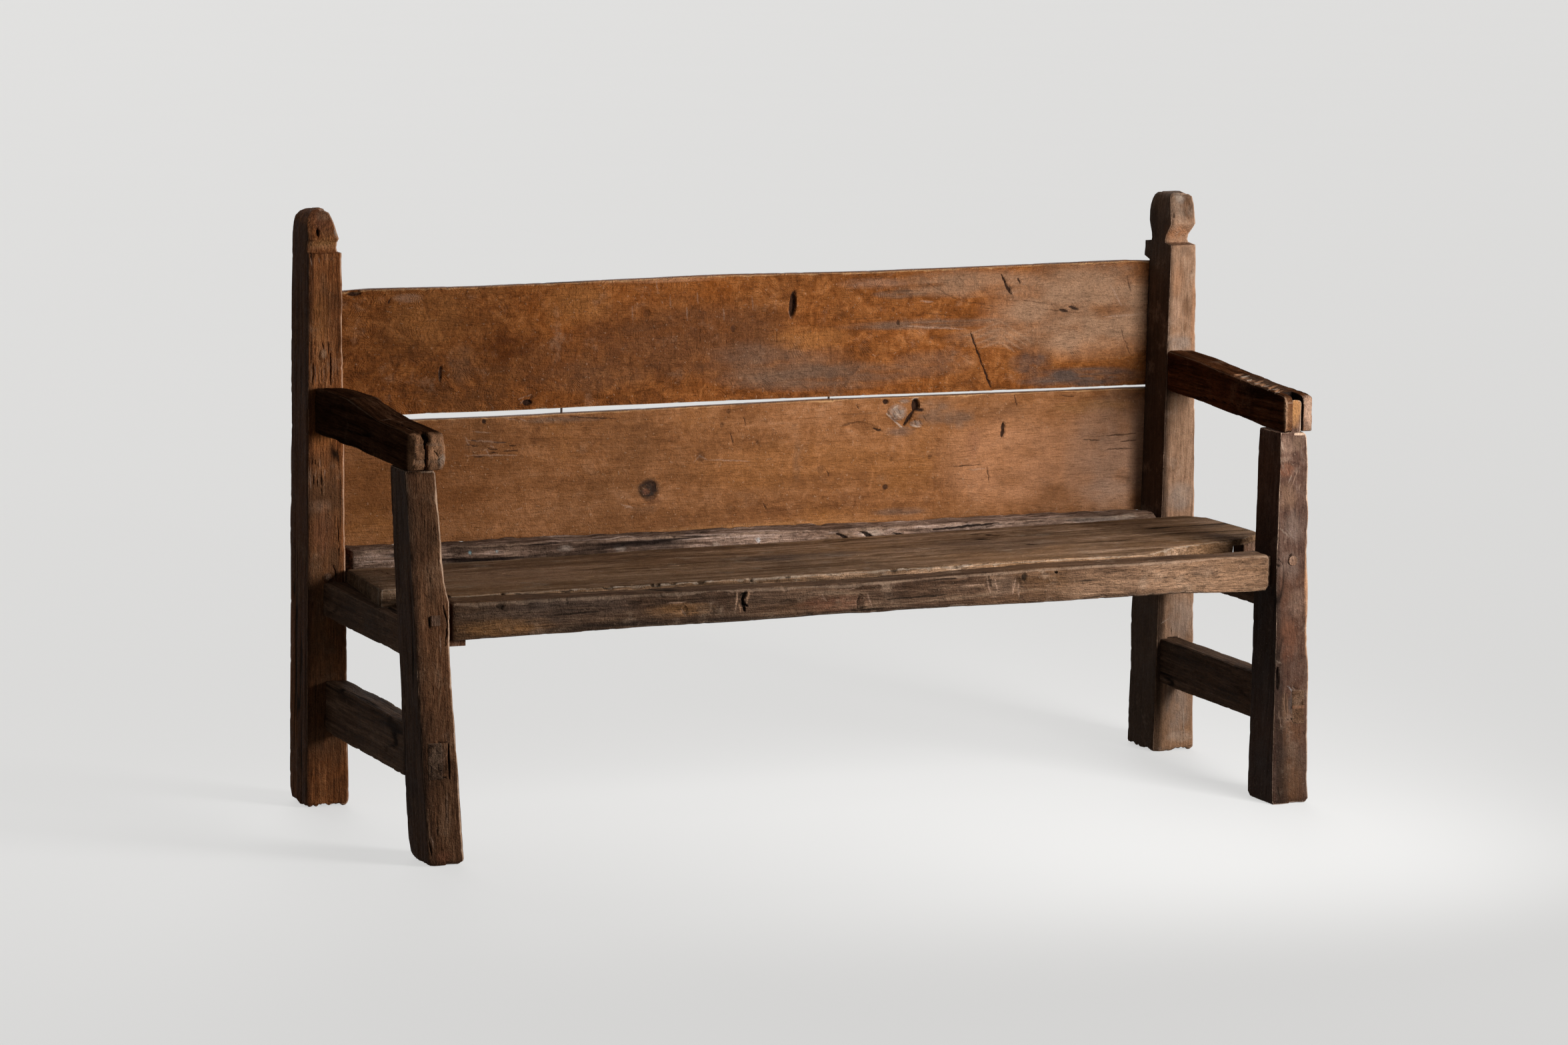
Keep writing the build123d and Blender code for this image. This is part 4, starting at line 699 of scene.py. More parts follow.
# front legs: raked and tapered
leftRake, rightRake = raked(-315, 44 / 655), raked(-299, 46 / 655)
leftLeg = {
    "foot": (-821.5, -756.5, -315, -210.5), "top": (-851.5, -796.5, -271, -192), "height": 655,
    "swell": [
        (0, 0, 0, 0, 0), (330, 0, 0, 0, 0), (400, 0, 4, 0, 0), (436, 0, 6, 0, 0), (470, 0, 1, 0, 0),
        (655, 0, 0, 0, 0),
    ],
    "wearFoot": [(0, 2, -3, 3, -22), (9, 0, -1, 0, -12), (30, 0, 0, 0, -3), (60, 0, 0, 0, 0)], "seed": 21,
    "round": 2.4, "chip": 2.5, "chipRun": 9, "wave": 1.0, "hew": 1.1, "ridge": 0.6, "crack": 0.9,
    "crackShare": -0.35, "arris": [(1, -1, 7)], "edged": 0.64,
    "dents": [
        ((-798, -302, 188), (8.1, 9, 13), 0, 1.4, 0.35), ((-794, -304, 160), (5.8, 9, 11), 0, 1.2, 0.35),
    ],
    "cuts": scores(leftRake, [
        (-789, 432, -783, 399, 2.2, 2.6, 0.7), (-783, 399, -786, 364, 2.2, 2.6, 0.7),
        (-819, 450, -818, 441, 1.3, 1.4, 0.6), (-814, 413, -813, 394, 2.2, 2.6, 0.9),
        (-810, 301, -809, 281, 1.2, 1.2, 0.5), (-827, 289, -826, 258, 1.2, 1, 0.5),
        (-809, 204, -808, 178, 1.7, 2, 0.8), (-807, 178, -805, 149, 1.2, 1.2, 0.55),
        (-808, 206, -786, 206, 1.6, 1.6, 0.7), (-784, 203, -783, 143, 2.3, 2.8, 0.9),
        (-805, 145, -789, 147, 2.3, 2.4, 0.85), (-797, 518, -797, 496, 1.1, 1, 0.45),
        (-812, 486, -811, 464, 1.1, 1, 0.45), (-797, 309, -798, 276, 1.1, 1, 0.45),
        (-773, 264, -773, 220, 1.2, 1, 0.5), (-791, 121, -790, 77, 1.2, 1, 0.5),
        (-806, 84, -805, 39, 1.6, 1.6, 0.6), (-821, 44, -816, 19, 2.2, 2, 0.6),
        (-820, 585, -820, 552, 1.1, 1, 0.45), (-804, 562, -805, 535, 1.1, 1, 0.45),
        (-790, 463, -790, 441, 1.1, 1, 0.45),
    ]),
    "scrapes": scores(leftRake, [
        (-809, 159, -785, 187, 1.6, "pink", 0.55), (-796, 386, -795, 348, 1.4, "pink", 0.55),
        (-764, 197, -763, 175, 1.4, "pink", 0.55), (-822, 96, -819, 29, 1.8, "tan", 0.55),
        (-788, 121, -788, 71, 1.4, "pink", 0.55), (-800, 331, -800, 309, 1.4, "tan", 0.55),
        (-817, 51, -811, 29, 2, "pink", 0.55),
    ]),
    "tints": spots(leftRake, front(9), [
        (-795, 16, 21, 11.1, "rust", 0.7), (-801, 617, 28, 50, "brown", 0.6),
        (-798, 174, 10.4, 29, "greyBrown", 0.6), (-791, 77, 14, 44, "tan", 0.25),
        (-820, 332, 16, 66, "brown", 0.3), (-787, 49, 16, 22, "brown", 0.5),
        (-806, 474, 21, 44, "tan", 0.25),
    ]) + [
        # painted shade: near black down the leg's left face, away from the lamp
        ((-843, -250, 330), (22, 500, 2500), 3, "soot", 0.7),
    ],
    "finish": {
        "grain": "z", "sway": 0.03, "bands": 60, "streaks": (16, 230, 230), "figure": 0.3, "curly": 0.15,
        "calm": 0.17, "fibrous": 0.22, "dimpled": 1.1, "arrisTone": (0.66, 0.43, 0.29), "shift": (1, 4, 2),
        "ramp": [
            (0, (0.050, 0.021, 0.010)), (0.45, (0.124, 0.054, 0.026)), (0.8, (0.186, 0.088, 0.044)),
            (1, (0.258, 0.134, 0.071)),
        ],
        "warm": (0.186, 0.074, 0.033), "warmth": 0.5, "dusk": (0.038, 0.021, 0.013), "dusky": 0.5,
        "bare": (0.34, 0.21, 0.135), "mottled": 0.3, "porous": 0.5, "poreAt": 0.6, "worn": 0.92,
        "specks": 0.12, "crackTone": (0.010, 0.006, 0.004), "dull": 0.7, "relief": 0.95,
    },
}
rightLeg = {
    "foot": (755, 829, -299, -204.5), "top": (776, 831, -253, -171), "height": 655,
    "swell": [
        (0, 0, 0, 0, 0), (300, 0, 0, 0, 0), (420, -2, 0, 0, 0), (520, 0, 0, 0, 0), (655, 0, 0, 0, 0),
    ],
    "wearFoot": [(0, 3, -2, 2, -4), (8, 1, 0, 0, 0), (40, 0, 0, 0, 0)], "seed": 27, "round": 2.8,
    "chip": 2.5, "chipRun": 10, "wave": 1.3, "hew": 1.6, "ridge": 0.3, "crack": 0.5, "crackShare": -0.6,
    "arris": [(1, -1, 6)], "edged": 0.64,
    "dents": [
        ((794, -268, 434), (4.2, 9, 7.6), 0, 3, 0.9),
    ] + spots(rightRake, front(9), [
        (782, 596, 11.9, 16, 1.2, 0.05), (807, 642, 11.9, 11.7, 1.2, 0.15), (780, 514, 10.6, 16, 1, 0.05),
    ]),
    "cuts": scores(rightRake, [
        (768, 242, 768, 204, 4.4, 6, 0.9), (784, 201, 785, 152, 1.6, 1.6, 0.6),
        (807, 202, 808, 150, 1.8, 1.8, 0.7),
    ]) + [
        ((787, -288, 149), (801, -288, 150), 2.2, 2.2, 0.8),
    ] + scores(rightRake, [
        (768, 435, 778, 425, 2, 1.6, 0.7), (765, 423, 773, 420, 2.4, 2, 0.8),
        (796, 208, 807, 202, 1.8, 1.4, 0.6), (766, 32, 772, 8.5, 1.8, 1.4, 0.5),
        (819, 126, 820, 119, 1.6, 1.4, 0.6),
    ]) + scores(rightRake, [
        (766, 524, 784, 513), (777, 513, 796, 502), (789, 502, 808, 490), (767, 492, 785, 481),
        (779, 481, 797, 470), (790, 470, 809, 459),
    ], 1.5, 0.7, 0.28) + [
        ((768, -267, 461), (786, -268, 449), 1.5, 0.7, 0.28),
    ] + scores(rightRake, [
        (780, 450, 798, 438), (792, 438, 810, 427), (769, 429, 788, 418), (781, 418, 800, 406),
        (793, 407, 812, 395), (770, 397, 789, 386), (782, 386, 801, 375), (794, 375, 813, 363),
        (772, 365, 790, 354), (784, 354, 802, 343), (795, 343, 814, 332),
    ], 1.5, 0.7, 0.28),
    "scrapes": scores(rightRake, [
        (787, 209, 803, 193, 2.2, "white", 0.25), (794, 210, 807, 194, 1.8, "pale", 0.25),
        (777, 640, 782, 624, 3.4, "pale", 0.25), (790, 566, 798, 581, 1.8, "pale", 0.25),
        (797, 560, 808, 586, 1.6, "pink", 0.25), (773, 488, 792, 471, 1.8, "pale", 0.25),
        (781, 490, 805, 464, 1.6, "grey", 0.25), (811, 554, 815, 565, 1.6, "pink", 0.25),
        (762, 257, 775, 249, 1.6, "pale", 0.25), (770, 167, 773, 138, 1.8, "pink", 0.25),
    ]),
    "tints": spots(rightRake, front(9), [
        (784, 628, 21, 26, "pink", 0.3), (808, 636, 15, 18, "greyBrown", 0.6),
        (787, 589, 18, 16, "rust", 0.45), (787, 543, 24, 30, "tan", 0.25),
        (800, 490, 24, 35, "grey", 0.15), (792, 420, 26, 30, "grey", 0.2), (806, 354, 19, 31, "pink", 0.2),
        (786, 291, 26, 47, "rust", 0.35), (796, 177, 10.6, 26, "stain", 0.75),
        (792, 125, 29, 47, "brown", 0.5), (792, 66, 32, 59, "greyBrown", 0.6),
        (780, 173, 10.6, 31, "tan", 0.4), (792, 31, 32, 71, "brown", 0.6),
        (826, 359, 5.3, 494, "buff", 0.75),
    ]) + [
        # painted shade: near black down the leg's left face, away from the lamp
        ((760, -225, 330), (20, 500, 2500), 2, "soot", 0.72),
    ],
    "finish": {
        "grain": "z", "sway": 0.05, "bands": 26, "streaks": (14, 180, 180), "figure": 0.3, "curly": 0.35,
        "calm": 0.15, "fibrous": 0.14, "dimpled": 0.9, "arrisTone": (0.60, 0.41, 0.29), "shift": (5, 2, 7),
        "ramp": [
            (0, (0.035, 0.017, 0.013)), (0.4, (0.073, 0.038, 0.026)), (0.75, (0.100, 0.058, 0.042)),
            (1, (0.134, 0.083, 0.065)),
        ],
        "warm": (0.097, 0.043, 0.024), "warmth": 0.65, "dusk": (0.051, 0.033, 0.026), "dusky": 0.55,
        "bare": (0.40, 0.285, 0.21), "mottled": 0.25, "porous": 0.35, "poreAt": 0.62, "worn": 0.85,
        "specks": 0.15, "crackTone": (0.013, 0.008, 0.006), "dull": 0.66, "relief": 0.9,
    },
}


def legSections(look):
    stations = sorted({z for z, *_ in look["swell"]} | {z for z, *_ in look["wearFoot"]} | {240})
    rows = []
    for z in stations:
        row = [a + (b - a) * z / look["height"] for a, b in zip(look["foot"], look["top"])]
        for extra in (look["swell"], look["wearFoot"]):
            heights = [e[0] for e in extra]
            row = [v + np.interp(z, heights, [e[1 + k] for e in extra]) for k, v in enumerate(row)]
        rows.append((z, *row))
    return rows


def plainLook(look, **changes):
    # the same wood without the marks of its face
    marks = ("dents", "cuts", "scrapes", "tints")
    return dict({k: v for k, v in look.items() if k not in marks}, **changes)


leg = hewTimber("front_leg_left_hewn", 2, legSections(leftLeg), 5.5, 2.6)
weather(leg, 2, legSections(leftLeg), leftLeg)
setUp(leg, woodFinish("front leg left wood", leftLeg["finish"]), "leg_wood", "front_leg_left")
leg = hewTimber("front_leg_right_hewn", 2, legSections(rightLeg), 5.5, 2.6)
weather(leg, 2, legSections(rightLeg), rightLeg)
# the tenon that shows in the arm, its top sloping to the back
ends = [(650, 800.3, 821.7, -246.5, -203.5), (712, 800.3, 821.7, -246.5, -203.5)]
tenon = hewTimber("rightTenon", 2, ends, 4, 3)
slope = lambda p: np.column_stack([p[:, :2], p[:, 2] - 0.0042 * (p[:, 1] + 246.5) * (p[:, 2] - 650)])
weather(tenon, 2, ends, plainLook(rightLeg, round=1.5, chip=0, wave=0.4, hew=0.3,
                                  tints=[((809, -246, 698), (18, 40, 40), 0, "amber", 0.9)]), slope)
leg = joinPieces([leg, tenon])
setUp(leg, woodFinish("front leg right wood", rightLeg["finish"]), "leg_wood", "front_leg_right")

# arms
leftArm = {
    "sections": [
        (-297, -845, -794, 672, 701), (-294, -847.5, -791, 664, 707), (-288, -850, -788.5, 658, 713),
        (-275, -851.5, -788, 655, 718), (-258, -852, -788, 655, 719), (-120, -849.5, -790.5, 655, 719.5),
        (-44.5, -848.5, -791.8, 655, 727), (41.4, -848.5, -792.6, 655, 736),
        (147.4, -848.5, -793.4, 655, 736), (212, -848.5, -793.8, 655, 732),
    ],
    "seed": 33, "round": 5, "chip": 1.6, "chipRun": 10, "wave": 1.2, "hew": 0.9, "ridge": 0.6,
    "crack": 0.9, "crackShare": -0.3,
    "dents": [
        ((-824, -297, 685), (3, 30, 46), 4, 18, 1), ((-822, -290, 717), (8, 22, 16), 0, 9, 1),
        ((-856, -300, 716), (18, 20, 20), 0, 6, 0), ((-784, -300, 716), (20, 22, 22), 0, 7, 0),
        ((-854, -300, 656), (14, 18, 14), 0, 4, 0), ((-786, -300, 656), (16, 18, 16), 0, 5, 0),
    ],
    "cuts": [
        ((-828, -155, 719), (-830, -180, 719), 2.6, 2.6, 0.9),
        ((-825, -173, 719), (-830, -197, 719), 2.2, 2.4, 0.9),
        ((-826, -206, 719), (-829, -238, 719), 3, 3, 0.95),
        ((-830, -238, 719), (-826, -247, 719), 2.6, 2.6, 0.9),
        ((-812, -80, 723), (-806, -113, 720), 1.8, 1.2, 0.5),
        ((-805, 28, 734), (-794, -25, 726), 1.6, 1, 0.5),
        ((-837, -287, 719), (-833, -323, 719), 4.4, 5, 1), ((-830, -300, 719), (-840, -354, 719), 4, 6, 1),
        ((-830, 7.5, 730), (-827, -55, 724), 1.6, 1, 0.5),
        ((-811, -297, 690), (-800, -295, 677), 1.6, 1.6, 0.8),
        ((-838, -296, 660), (-834, -297, 672), 1.4, 1.2, 0.5),
    ],
    "scrapes": [
        ((-845, -118, 720), (-816, -112, 720), 2, "pink", 0.6),
        ((-836, -228, 719), (-832, -267, 718), 1.8, "tan", 0.6),
        ((-820, -140, 719), (-817, -158, 719), 1.6, "tan", 0.6),
        ((-832, 53, 736), (-824, 14, 731), 1.6, "tan", 0.6),
        ((-811, -40, 725), (-803, -103, 721), 1.6, "tan", 0.6),
    ],
    "tints": [
        ((-838, -292, 684), (20, 24, 60), 0, "buff", 0.85),
        ((-804, -290, 684), (30, 26, 60), 0, "buff", 0.95),
        ((-796, -294, 674), (10, 14, 12), 0, "pale", 0.6),
    ],
}
rightArm = {
    "sections": [
        (-249, 787, 837, 657, 707), (-246, 786, 841, 655, 714), (-240, 786, 843, 655, 717.5),
        (-225, 786, 844, 655, 719.3), (-171, 786, 844, 655, 722), (-116.5, 786, 844, 658.5, 725.4),
        (-43, 786, 843.6, 662.2, 731), (16, 786, 843.4, 665.8, 735), (93.75, 786, 843, 669.9, 741.8),
        (212, 786, 842.8, 673, 746),
    ],
    "seed": 38, "round": 4, "chip": 2.5, "chipRun": 10, "wave": 1.1, "hew": 0.9, "ridge": 0.5,
    "crack": 0.8, "crackShare": -0.3, "slot": ((800, 822), (-270, -203), (640, 770)), "arris": [(1, 1, 6)],
    "cuts": inFull([
        ((786, -203, 718), (798, -196, 721)), ((790, -193, 719), (808, -185, 722)),
        ((796, -183, 719), (818, -174, 722)), ((788, -173, 720), (804, -163, 723)),
        ((792, -163, 720), (814, -156, 723)), ((798, -153, 721), (812, -145, 724)),
        ((790, -143, 721), (808, -134, 724)), ((794, -133, 722), (818, -123, 725)),
        ((786, -123, 723), (804, -116, 726)), ((792, -113, 723), (814, -105, 726)),
        ((796, -103, 724), (812, -94, 727)), ((788, -93, 725), (808, -83, 728)),
        ((794, -83, 726), (806, -76, 729)), ((786, -73, 726), (804, -65, 729)),
        ((790, -63, 727), (814, -54, 730)), ((796, -53, 728), (812, -43, 731)),
        ((788, -43, 729), (808, -36, 732)), ((792, -33, 729), (806, -25, 732)),
    ], 3, 2.2, 0.7),
    # pale strokes beside the chop cuts: partly fresh-cut wood, partly painted glints off the chop facets
    "scrapes": [
        ((786, -208, 718), (800, -201, 721), 4.4, "pale", 0.95),
        ((790, -198, 719), (812, -188, 722), 4.4, "buff", 0.95),
        ((796, -188, 719), (812, -175, 722), 4.4, "buff", 0.95),
        ((788, -178, 720), (812, -170, 723), 4.4, "pale", 0.95),
        ((792, -168, 720), (812, -157, 723), 4.4, "buff", 0.95),
        ((798, -158, 721), (824, -144, 724), 4.4, "buff", 0.95),
        ((790, -148, 721), (810, -139, 724), 4.4, "pale", 0.95),
        ((794, -138, 722), (810, -126, 725), 4.4, "buff", 0.95),
        ((786, -128, 723), (810, -121, 726), 4.4, "buff", 0.95),
        ((792, -118, 723), (810, -108, 726), 4.4, "pale", 0.95),
        ((796, -108, 724), (822, -95, 727), 4.4, "buff", 0.95),
        ((788, -98, 725), (808, -90, 728), 4.4, "buff", 0.95),
        ((794, -88, 726), (808, -77, 729), 4.4, "pale", 0.95),
        ((786, -78, 726), (808, -64, 729), 4.4, "buff", 0.95),
        ((790, -68, 727), (808, -59, 730), 4.4, "buff", 0.95),
        ((796, -58, 728), (820, -46, 731), 4.4, "pale", 0.95),
        ((788, -48, 729), (806, -41, 732), 4.4, "buff", 0.95),
        ((792, -38, 729), (818, -28, 732), 4.4, "buff", 0.95),
    ],
    "tints": [
        ((793, -248, 690), (10, 14, 44), 0, "brown", 0.8), ((788, -248, 690), (3, 14, 44), 0, "tan", 0.7),
        ((834, -246, 690), (16, 16, 44), 0, "pink", 0.85),
        ((812, -120, 726), (34, 110, 14), 0, "greyBrown", 0.5),
    ],
}
armFinish = {
    "grain": "y", "sway": 0.03, "bands": 45, "figure": 0.4, "fibrous": 0.2, "dimpled": 0.4,
    "ramp": [
        (0, (0.017, 0.007, 0.003)), (0.5, (0.044, 0.017, 0.008)), (0.85, (0.073, 0.031, 0.015)),
        (1, (0.106, 0.048, 0.024)),
    ],
    "warm": (0.066, 0.026, 0.011), "warmth": 0.5, "dusk": (0.015, 0.007, 0.004), "dusky": 0.6,
    "bare": (0.30, 0.19, 0.125), "mottled": 0.25, "porous": 0.6, "worn": 0.5, "specks": 0.12,
    "crackTone": (0.008, 0.005, 0.004), "dull": 0.6, "relief": 0.8, "shine": 0,
}
redArmFinish = dict(
    armFinish, shift=(4, 1, 3), warm=(0.125, 0.042, 0.014),
    ramp=[
        (0, (0.028, 0.011, 0.005)), (0.5, (0.080, 0.029, 0.012)), (0.85, (0.125, 0.050, 0.022)),
        (1, (0.18, 0.085, 0.042)),
    ],
)


def cutSlot(piece, spans):
    cutter = blockOf(spans)
    pickPiece(piece)
    cut = piece.modifiers.new("slot", "BOOLEAN")
    cut.operation, cut.solver, cut.object = "DIFFERENCE", "EXACT", cutter
    bpy.ops.object.modifier_apply(modifier="slot")
    bpy.data.objects.remove(cutter)
    # painted shade on the new walls of the slot
    points = readPoints(piece.data)
    low, high = np.array(spans).T
    inside = np.all((points > low - 0.1) & (points < high + 0.1), axis=1)
    tint = np.empty(len(points) * 4, np.float32)
    piece.data.attributes["tint"].data.foreach_get("color", tint)
    tint = tint.reshape(-1, 4)
    tint[inside] = (*tones["soot"], 1)
    piece.data.attributes["tint"].data.foreach_set("color", tint.ravel())


darkArm = woodFinish("arm wood", armFinish)
arm = hewTimber("arm_left_hewn", 1, leftArm["sections"], 5, 2.8)
weather(arm, 1, leftArm["sections"], leftArm)
setUp(arm, darkArm, "arm_wood", "arm_left")
arm = hewTimber("arm_right_hewn", 1, rightArm["sections"], 5, 2.8)
weather(arm, 1, rightArm["sections"], rightArm)
cutSlot(arm, rightArm["slot"])
setUp(arm, woodFinish("right arm wood", redArmFinish), "arm_wood", "arm_right")

# side rails and stretchers, in the shade of the ends
lowFrame = {
    "side_rail_left": ([(-206, -831.5, -779.5, 336, 394), (212, -831.5, -779.5, 336, 394)], None, 41),
    "side_rail_right": ([(-190, 779.5, 831.5, 336, 394), (212, 779.5, 831.5, 336, 394)], None, 44),
    "stretcher_left": ([(-212, -827.5, -787.5, 133, 222), (212, -827.5, -787.5, 133, 222)],
                       (-305.2, -819.5, -795.5, 145, 205), 47),
    "stretcher_right": ([(-203, 787.5, 827.5, 129, 212), (212, 787.5, 827.5, 129, 212)],
                        (-289.0, 795.5, 819.5, 141, 201), 52),
    "round": 3, "chip": 4, "chipRun": 12, "wave": 1.5, "hew": 1.4, "ridge": 0.7, "crack": 1.4,
    "finish": {
        "grain": "y", "sway": 0.03, "bands": 45, "figure": 0.4, "fibrous": 0.28, "dimpled": 0.7,
        "ramp": [
            (0, (0.034, 0.017, 0.010)), (0.5, (0.090, 0.048, 0.028)), (0.85, (0.145, 0.083, 0.051)),
            (1, (0.20, 0.122, 0.08)),
        ],
        "warm": (0.14, 0.070, 0.037), "warmth": 0.45, "dusk": (0.030, 0.018, 0.012), "dusky": 0.55,
        "bare": (0.28, 0.18, 0.12), "mottled": 0.35, "porous": 0.6, "worn": 0.55, "specks": 0.1,
        "crackTone": (0.010, 0.006, 0.005), "dull": 0.72, "relief": 0.9,
    },
}
shadeWood = woodFinish("frame wood", lowFrame["finish"])
for name in ("side_rail_left", "side_rail_right", "stretcher_left", "stretcher_right"):
    sections, through, seed = lowFrame[name]
    rail = hewTimber(name + "_hewn", 1, sections, 6, 3.4)
    weather(rail, 1, sections, dict(lowFrame, seed=seed))
    if through:
        y, x0, x1, z0, z1 = through
        ends = [(y, x0, x1, z0, z1), (y + 60, x0, x1, z0, z1)]
        tenon = hewTimber(name + "_through", 1, ends, 4, 2.4)
        lean = lambda p: np.column_stack([p[:, 0], p[:, 1] + (p[:, 2] - (z0 + z1) / 2) * 0.068, p[:, 2]])
        endLook = dict(lowFrame, seed=seed + 2, round=1.6, chip=1, wave=0.6, hew=0.6, crack=0.8)
        weather(tenon, 1, ends, endLook, lean)
        rail = joinPieces([rail, tenon])
    setUp(rail, shadeWood, "frame_wood", name)


def tenonedRail(name, look, step, low, high):
    # a rail along x with a tenon at each end, low and high on y
    rail = hewTimber(name, 0, look["sections"], step, 2.8)
    pieces = [weather(rail, 0, look["sections"], look)]
    for x0, x1, z0, z1 in look["tenons"]:
        ends = [(x0, low, high, z0, z1), (x1, low, high, z0, z1)]
        tenon = hewTimber("railTenon", 0, ends, 6, 5)
        pieces.append(weather(tenon, 0, ends, plainLook(look, round=2, chip=0, wave=0.4, hew=0.4)))
    return joinPieces(pieces)


# front rail, bowed and worn round
frontRail = {
    "sections": [
        (-764.8, -262, -205, 366, 430), (-612.5, -262, -205, 367, 429.6), (-384, -262, -205, 372, 428.9),
        (-33.6, -262, -205, 375.2, 428), (149.2, -262, -205, 377, 433), (332, -262, -205, 377.4, 438),
        (560.6, -262, -205, 378, 439.1), (758.6, -262, -205, 376, 440),
    ],
    "tenons": [(-792, -760, 366, 420), (750, 782, 382, 436)], "seed": 61, "round": 7,
    "arris": [(-1, 1, 2)], "chip": 4, "chipRun": 12, "wave": 1.3, "hew": 0.9, "ridge": 0.5, "crack": 0.9,
    "crackShare": -0.2,
    "dents": spots(front(-262), front(12), [
        (-681, 421, 9.4, 6.8, 3, 0.55), (-351, 396, 6.1, 10.2, 2, 0.3), (-302, 392, 4.8, 7.9, 2, 0.2),
        (210, 416, 7.6, 16, 1.8, 0.15), (265, 411, 9, 17, 2, 0.15), (279, 424, 6.4, 8.2, 2.2, 0.6),
        (-29, 394, 8.7, 16, 2.2, 0.4), (341, 430, 3.2, 2.9, 5, 1), (-98, 403, 11.1, 10.3, 1.6, 0.2),
        (-444, 414, 17, 5.7, 1.2, 0.3), (-372, 424, 12, 4.6, 1.4, 0.25), (-165, 401, 20, 5.8, 1.4, 0.3),
        (-563, 420, 14, 5.6, 1.2, 0.2), (107, 410, 15, 5.8, 1.2, 0.25),
    ]),
    "cuts": scores(front(-262), [
        (-239, 429, -247, 410, 4.2, 6, 0.9), (-247, 412, -242, 391, 3.4, 5, 0.9),
        (-243, 424, -250, 418, 3, 3, 0.9), (-245, 403, -237, 398, 2.6, 3, 0.9),
    ]) + scores(front(-262), [
        (-682, 430, -676, 414), (-30, 411, -34, 383), (-35, 383, -17, 387), (20, 397, 133, 400),
        (-599, 400, -504, 403), (-444, 434, -324, 437), (-202, 431, -104, 433), (82, 426, 170, 429),
        (-79, 379, 20, 383), (-740, 429, -699, 430),
    ], 2.4, 1.4, 0.6) + scores(front(-262), [
        (476, 436, 481, 438), (546, 402, 552, 405), (614, 418, 622, 422), (683, 434, 692, 436),
        (486, 398, 491, 401), (554, 414, 561, 418), (623, 430, 631, 432), (694, 396, 703, 399),
        (495, 410, 500, 414), (563, 426, 570, 428), (633, 392, 641, 395), (702, 408, 711, 412),
        (503, 422, 508, 424), (573, 388, 580, 391), (642, 404, 650, 408), (711, 420, 720, 422),
        (512, 434, 517, 437), (582, 400, 588, 404), (651, 416, 659, 418), (720, 432, 729, 435),
        (522, 396, 527, 400), (591, 412, 597, 414), (660, 428, 667, 431), (730, 394, 740, 398),
        (531, 408, 536, 410), (600, 424, 606, 427), (670, 390, 678, 394), (739, 406, 748, 408),
        (540, 420, 545, 423), (608, 436, 615, 440), (679, 402, 687, 404), (480, 416, 489, 419),
        (548, 432, 554, 436), (619, 398, 625, 400), (688, 414, 695, 417), (489, 428, 498, 432),
        (559, 394, 564, 396), (627, 410, 634, 413), (696, 426, 704, 430), (499, 390, 508, 392),
        (568, 406, 573, 409), (636, 422, 643, 426), (705, 437, 713, 439), (508, 402, 517, 405),
        (576, 418, 581, 422), (645, 433, 652, 435), (716, 400, 724, 403), (517, 414, 526, 418),
        (585, 429, 590, 432), (655, 396, 662, 399), (725, 411, 732, 416), (525, 425, 534, 427),
        (595, 392, 600, 395), (664, 408, 671, 412), (733, 423, 741, 425), (536, 388, 544, 391),
    ], 1.5, 0.9, 0.42),
    "scrapes": scores(front(-262), [
        (-234, 427, -239, 403, 3, "tan", 0.75), (-256, 429, -258, 395, 3, "tan", 0.75),
        (-252, 405, -250, 389, 3, "tan", 0.75),
    ]) + scores(front(-262), [
        (-255, 432, -259, 390), (208, 427, 216, 397), (223, 424, 230, 403), (264, 422, 258, 395),
        (269, 414, 270, 387), (-522, 424, -517, 433), (-490, 417, -486, 424), (-357, 403, -348, 386),
        (-100, 412, -91, 400), (-552, 428, -516, 429), (-17, 410, -6.9, 385), (158, 414, 202, 415),
        (-384, 411, -348, 412), (-67, 419, -30, 420),
    ], 2.2, "pink", 0.5),
    "tints": spots(front(-262), front(12), [
        # the near-black ovals along the lower edge are painted shade under the rail
        (-669, 386, 94, 18, "amber", 0.5), (-468, 378, 156, 10.2, "soot", 0.85),
        (-250, 375, 134, 10.2, "soot", 0.8), (-42, 377, 112, 9.2, "soot", 0.65),
        (108, 379, 75, 7, "soot", 0.5), (607, 406, 177, 47, "tan", 0.55), (412, 401, 77, 38, "tan", 0.35),
        (630, 417, 37, 11.8, "greyBrown", 0.5), (-528, 424, 107, 14, "greyBrown", 0.4),
        (-622, 412, 201, 29, "stain", 0.45), (-165, 412, 110, 16, "greyBrown", 0.4),
        (240, 410, 43, 21, "greyBrown", 0.6), (-360, 399, 72, 14, "amber", 0.3),
        (-79, 396, 74, 16, "red", 0.3), (478, 369, 78, 9.5, "brown", 0.5),
    ]),
    "finish": {
        "grain": "x", "sway": 0.03, "bands": 45, "figure": 0.35, "fibrous": 0.28, "dimpled": 0.7,
        "ramp": [
            (0, (0.034, 0.017, 0.009)), (0.45, (0.078, 0.042, 0.025)), (0.8, (0.120, 0.068, 0.041)),
            (1, (0.175, 0.109, 0.068)),
        ],
        "warm": (0.132, 0.066, 0.031), "warmth": 0.55, "dusk": (0.038, 0.023, 0.016), "dusky": 0.5,
        "bare": (0.35, 0.235, 0.16), "mottled": 0.35, "porous": 0.6, "worn": 0.45, "specks": 0.2,
        "crackTone": (0.010, 0.007, 0.005), "dull": 0.62, "relief": 0.9,
    },
}
rail = tenonedRail("front_rail_hewn", frontRail, 4.5, -247, -223)
setUp(rail, woodFinish("front rail wood", frontRail["finish"]), "front_rail_wood", "front_rail")

